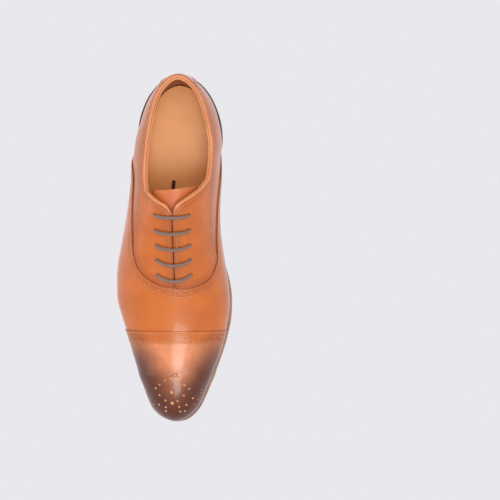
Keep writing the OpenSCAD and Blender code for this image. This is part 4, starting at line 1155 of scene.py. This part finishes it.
def slab(name, left, right, low, high, finish, nodes=(), cols=24, bevel=0.35, front=None):
    # a flat solid over a plan grid between two side lines, closed below and above
    u = np.linspace(0, 1, cols + 1)[None, :, None]
    plan = left[:, None] * (1 - u) + right[:, None] * u
    if front is not None:
        plan = front(plan)
    top = np.concatenate([plan, high(plan)[..., None]], -1)
    bottom = np.concatenate([plan, low(plan)[..., None]], -1)
    rows = len(plan)
    sheet = np.concatenate([top, bottom[:, ::-1]], 1)
    sheet = np.concatenate([sheet, sheet[:, :1]], 1)  # rolled round into a sleeve
    first = np.concatenate([(top[0] + bottom[0]) / 2, ((top[0] + bottom[0]) / 2)[::-1]])
    last = np.concatenate([(top[-1] + bottom[-1]) / 2, ((top[-1] + bottom[-1]) / 2)[::-1]])
    first = np.concatenate([first, first[:1]])[None]
    last = np.concatenate([last, last[:1]])[None]
    piece = gridPiece(name, np.concatenate([first, sheet, last]))
    if bevel:
        applied(piece, "BEVEL", width=bevel * mm, segments=3, limit_method="ANGLE",
                angle_limit=math.radians(50))
    return finished(piece, finish, nodes=nodes, angle=35)


soleLook = {"outsole": 5.0, "weltPitch": 3.1, "randFrom": 88}
s = np.linspace(-163.4, 163.4, 260)
slab("outsoleSlab", rimAt(lateral, s, "sole", 0.1), rimAt(medial, s, "sole", 0.1),
     lambda p: soleHeight(p[..., 1]), lambda p: soleHeight(p[..., 1]) + soleLook["outsole"],
     treadFinish, ["outsole"], bevel=0)
edgeSweep("soleEdge", -164, 164, [(0.15, 0.25), (-0.02, 0.7), (-0.1, 2.5), (-0.02, 4.3),
                                  (0.2, 4.85), (1.4, 5.0), (2.4, 4.9), (2.4, 0.1), (1.2, -0.02)],
          soleEdgeFinish, (), 420, angle=50)
weltProfile = [(0.5, 5.05), (0.05, 5.5), (0.0, 6.6), (0.1, 7.5), (0.5, 7.95), (1.2, 8.0),
               (1.7, 7.75), (2.2, 7.75), (2.6, 8.0), (4.2, 8.05), (5.9, 8.0), (5.9, 5.05)]
edgeSweep("weltStrip", -164, soleLook["randFrom"], weltProfile, weltFinish,
          ["welt"], 300, angle=50)
edgeSweep("heelRandStrip", soleLook["randFrom"] + 0.3, 164, weltProfile, soleEdgeFinish,
          ["heel_rand"], 120, angle=50)
rows = []
for side in (lateral, medial):
    s = np.linspace(-163.8, 86, 500)
    plan = rimAt(side, s, "sole", 1.95)
    line = np.column_stack([plan, soleHeight(plan[:, 1]) + 7.85])
    even = evenly(line, soleLook["weltPitch"])[0]
    run = unit(np.gradient(even, axis=0))
    rows.append([even, run, unit(np.cross(np.cross(run, [0, 0, 1.0]), run))])
points, runs, normals = [np.vstack([row[k] for row in rows]) for k in range(3)]
finished(stamped("weltStitches", thread(2.5, 0.85, 0.6), points, runs, normals),
         weltThreadFinish, angle=60)
s = np.linspace(-163, 163, 200)
slab("sockSlab", rimAt(lateral, s, "feather", 4.6), rimAt(medial, s, "feather", 4.6),
     lambda p: soleHeight(p[..., 1]) + 11.1, lambda p: soleHeight(p[..., 1]) + 12.4,
     sockFinish, ["insock"], cols=30, bevel=0.3)
print("sole and welt made")

# ---- heel

heelLook = {"topPiece": 6.0, "lift": 5.2, "gap": 0.08, "height": 27, "breastX": -9.6,
            "breastY": 107.7, "breastR": 240.0, "taper": 2.6}


def heelFront(plan):
    # rows in front of the hollow breast are drawn back to it
    breast = heelLook["breastY"] - heelLook["breastR"] + np.sqrt(
        heelLook["breastR"] ** 2 - (plan[..., 0] - heelLook["breastX"]) ** 2)
    y = np.maximum(plan[..., 1], breast)
    return np.stack([plan[..., 0], y], -1)


def heelSlab(name, low, high, inset, finish, nodes, wedge=False):
    s = np.linspace(92, 163.2, 90)
    left, right = rimAt(lateral, s, "sole", inset), rimAt(medial, s, "sole", inset)
    start = int(np.argmax(left[:, 1] > 104.0))
    left, right = left[start:], right[start:]
    top = ((lambda p: soleHeight(p[..., 1]) - 0.05) if wedge else (lambda p: p[..., 0] * 0 + high))
    slab(name, left, right, lambda p: p[..., 0] * 0 + low, top, finish, nodes,
         cols=30, bevel=0.3, front=heelFront)


def taperAt(z):
    return heelLook["taper"] * (1 - z / heelLook["height"]) + 0.25


heelSlab("topPieceSlab", 0.0, heelLook["topPiece"], taperAt(3), rubberFinish,
         ["top_piece"])
low = heelLook["topPiece"] + heelLook["gap"]
for place, middle in (("Lower", 8.7), ("Middle", 14), ("Upper", 21)):
    high = heelLook["height"] if place == "Upper" else low + heelLook["lift"]
    heelSlab("heelLift" + place, low, high, taperAt(middle), stackFinish,
             ["heel_lift_" + place.lower()], wedge=place == "Upper")
    low = high + heelLook["gap"]
print("heel made")

# nodes that keep their own shape, nearly all hidden inside the shoe
for name, finish in (("insole", insoleFinish), ("insole_rib", insoleFinish),
                     ("cork_filler", corkFinish), ("shank", steelFinish),
                     ("heel_nails", brassFinish), ("top_piece_pins", brassFinish),
                     ("toe_puff", boardFinish), ("heel_counter", boardFinish),
                     ("eyelets", brassFinish)):
    cad = bpy.data.objects[name]
    cad.data.materials.clear()
    cad.data.materials.append(finish)

# ---- studio

studioLook = {"floor": (233, 232, 237), "sky": (1.0, 1.0, 1.03), "skyStrength": 0.62,
              "toeLight": 4.2, "overhead": 14.0, "lateralLight": 2.6}
bpy.ops.mesh.primitive_plane_add(size=6, location=(0, 0, -0.0005))
floor = bpy.context.object
floor.name = "studioFloor"
floorFinish = bpy.data.materials.new("paleFloor")
floorFinish.use_nodes = True
tree = floorFinish.node_tree
tree.nodes.remove(tree.nodes["Principled BSDF"])
glow = addNode(tree, "ShaderNodeEmission", 0)
glow.inputs["Color"].default_value = colour(*studioLook["floor"])
tree.links.new(glow.outputs[0], tree.nodes["Material Output"].inputs["Surface"])
floor.data.materials.append(floorFinish)
world = bpy.data.worlds.new("softRoom")
bpy.context.scene.world = world
world.use_nodes = True
world.node_tree.nodes["Background"].inputs[0].default_value = (*studioLook["sky"], 1)
world.node_tree.nodes["Background"].inputs[1].default_value = studioLook["skyStrength"]
for name, place, size, power, aim in (
        ("toeSoftbox", (0.10, -0.47, 1.25), (0.44, 0.62), studioLook["toeLight"],
         (0.01, -0.09, 0.05)),
        ("lateralSoftbox", (-1.3, 0.1, 0.45), (1.2, 0.8), studioLook["lateralLight"],
         (0, 0, 0.05)),
        ("overheadSoftbox", (0.35, 0.25, 2.3), (1.5, 1.5), studioLook["overhead"],
         (0, 0, 0.05))):
    bpy.ops.object.light_add(type="AREA", location=place)
    lamp = bpy.context.object
    lamp.name = name
    lamp.data.shape = "RECTANGLE"
    lamp.data.size, lamp.data.size_y = size
    lamp.data.energy = power
    lamp.rotation_euler = (Vector(aim) - Vector(place)).to_track_quat("-Z", "Y").to_euler()
print("studio set")
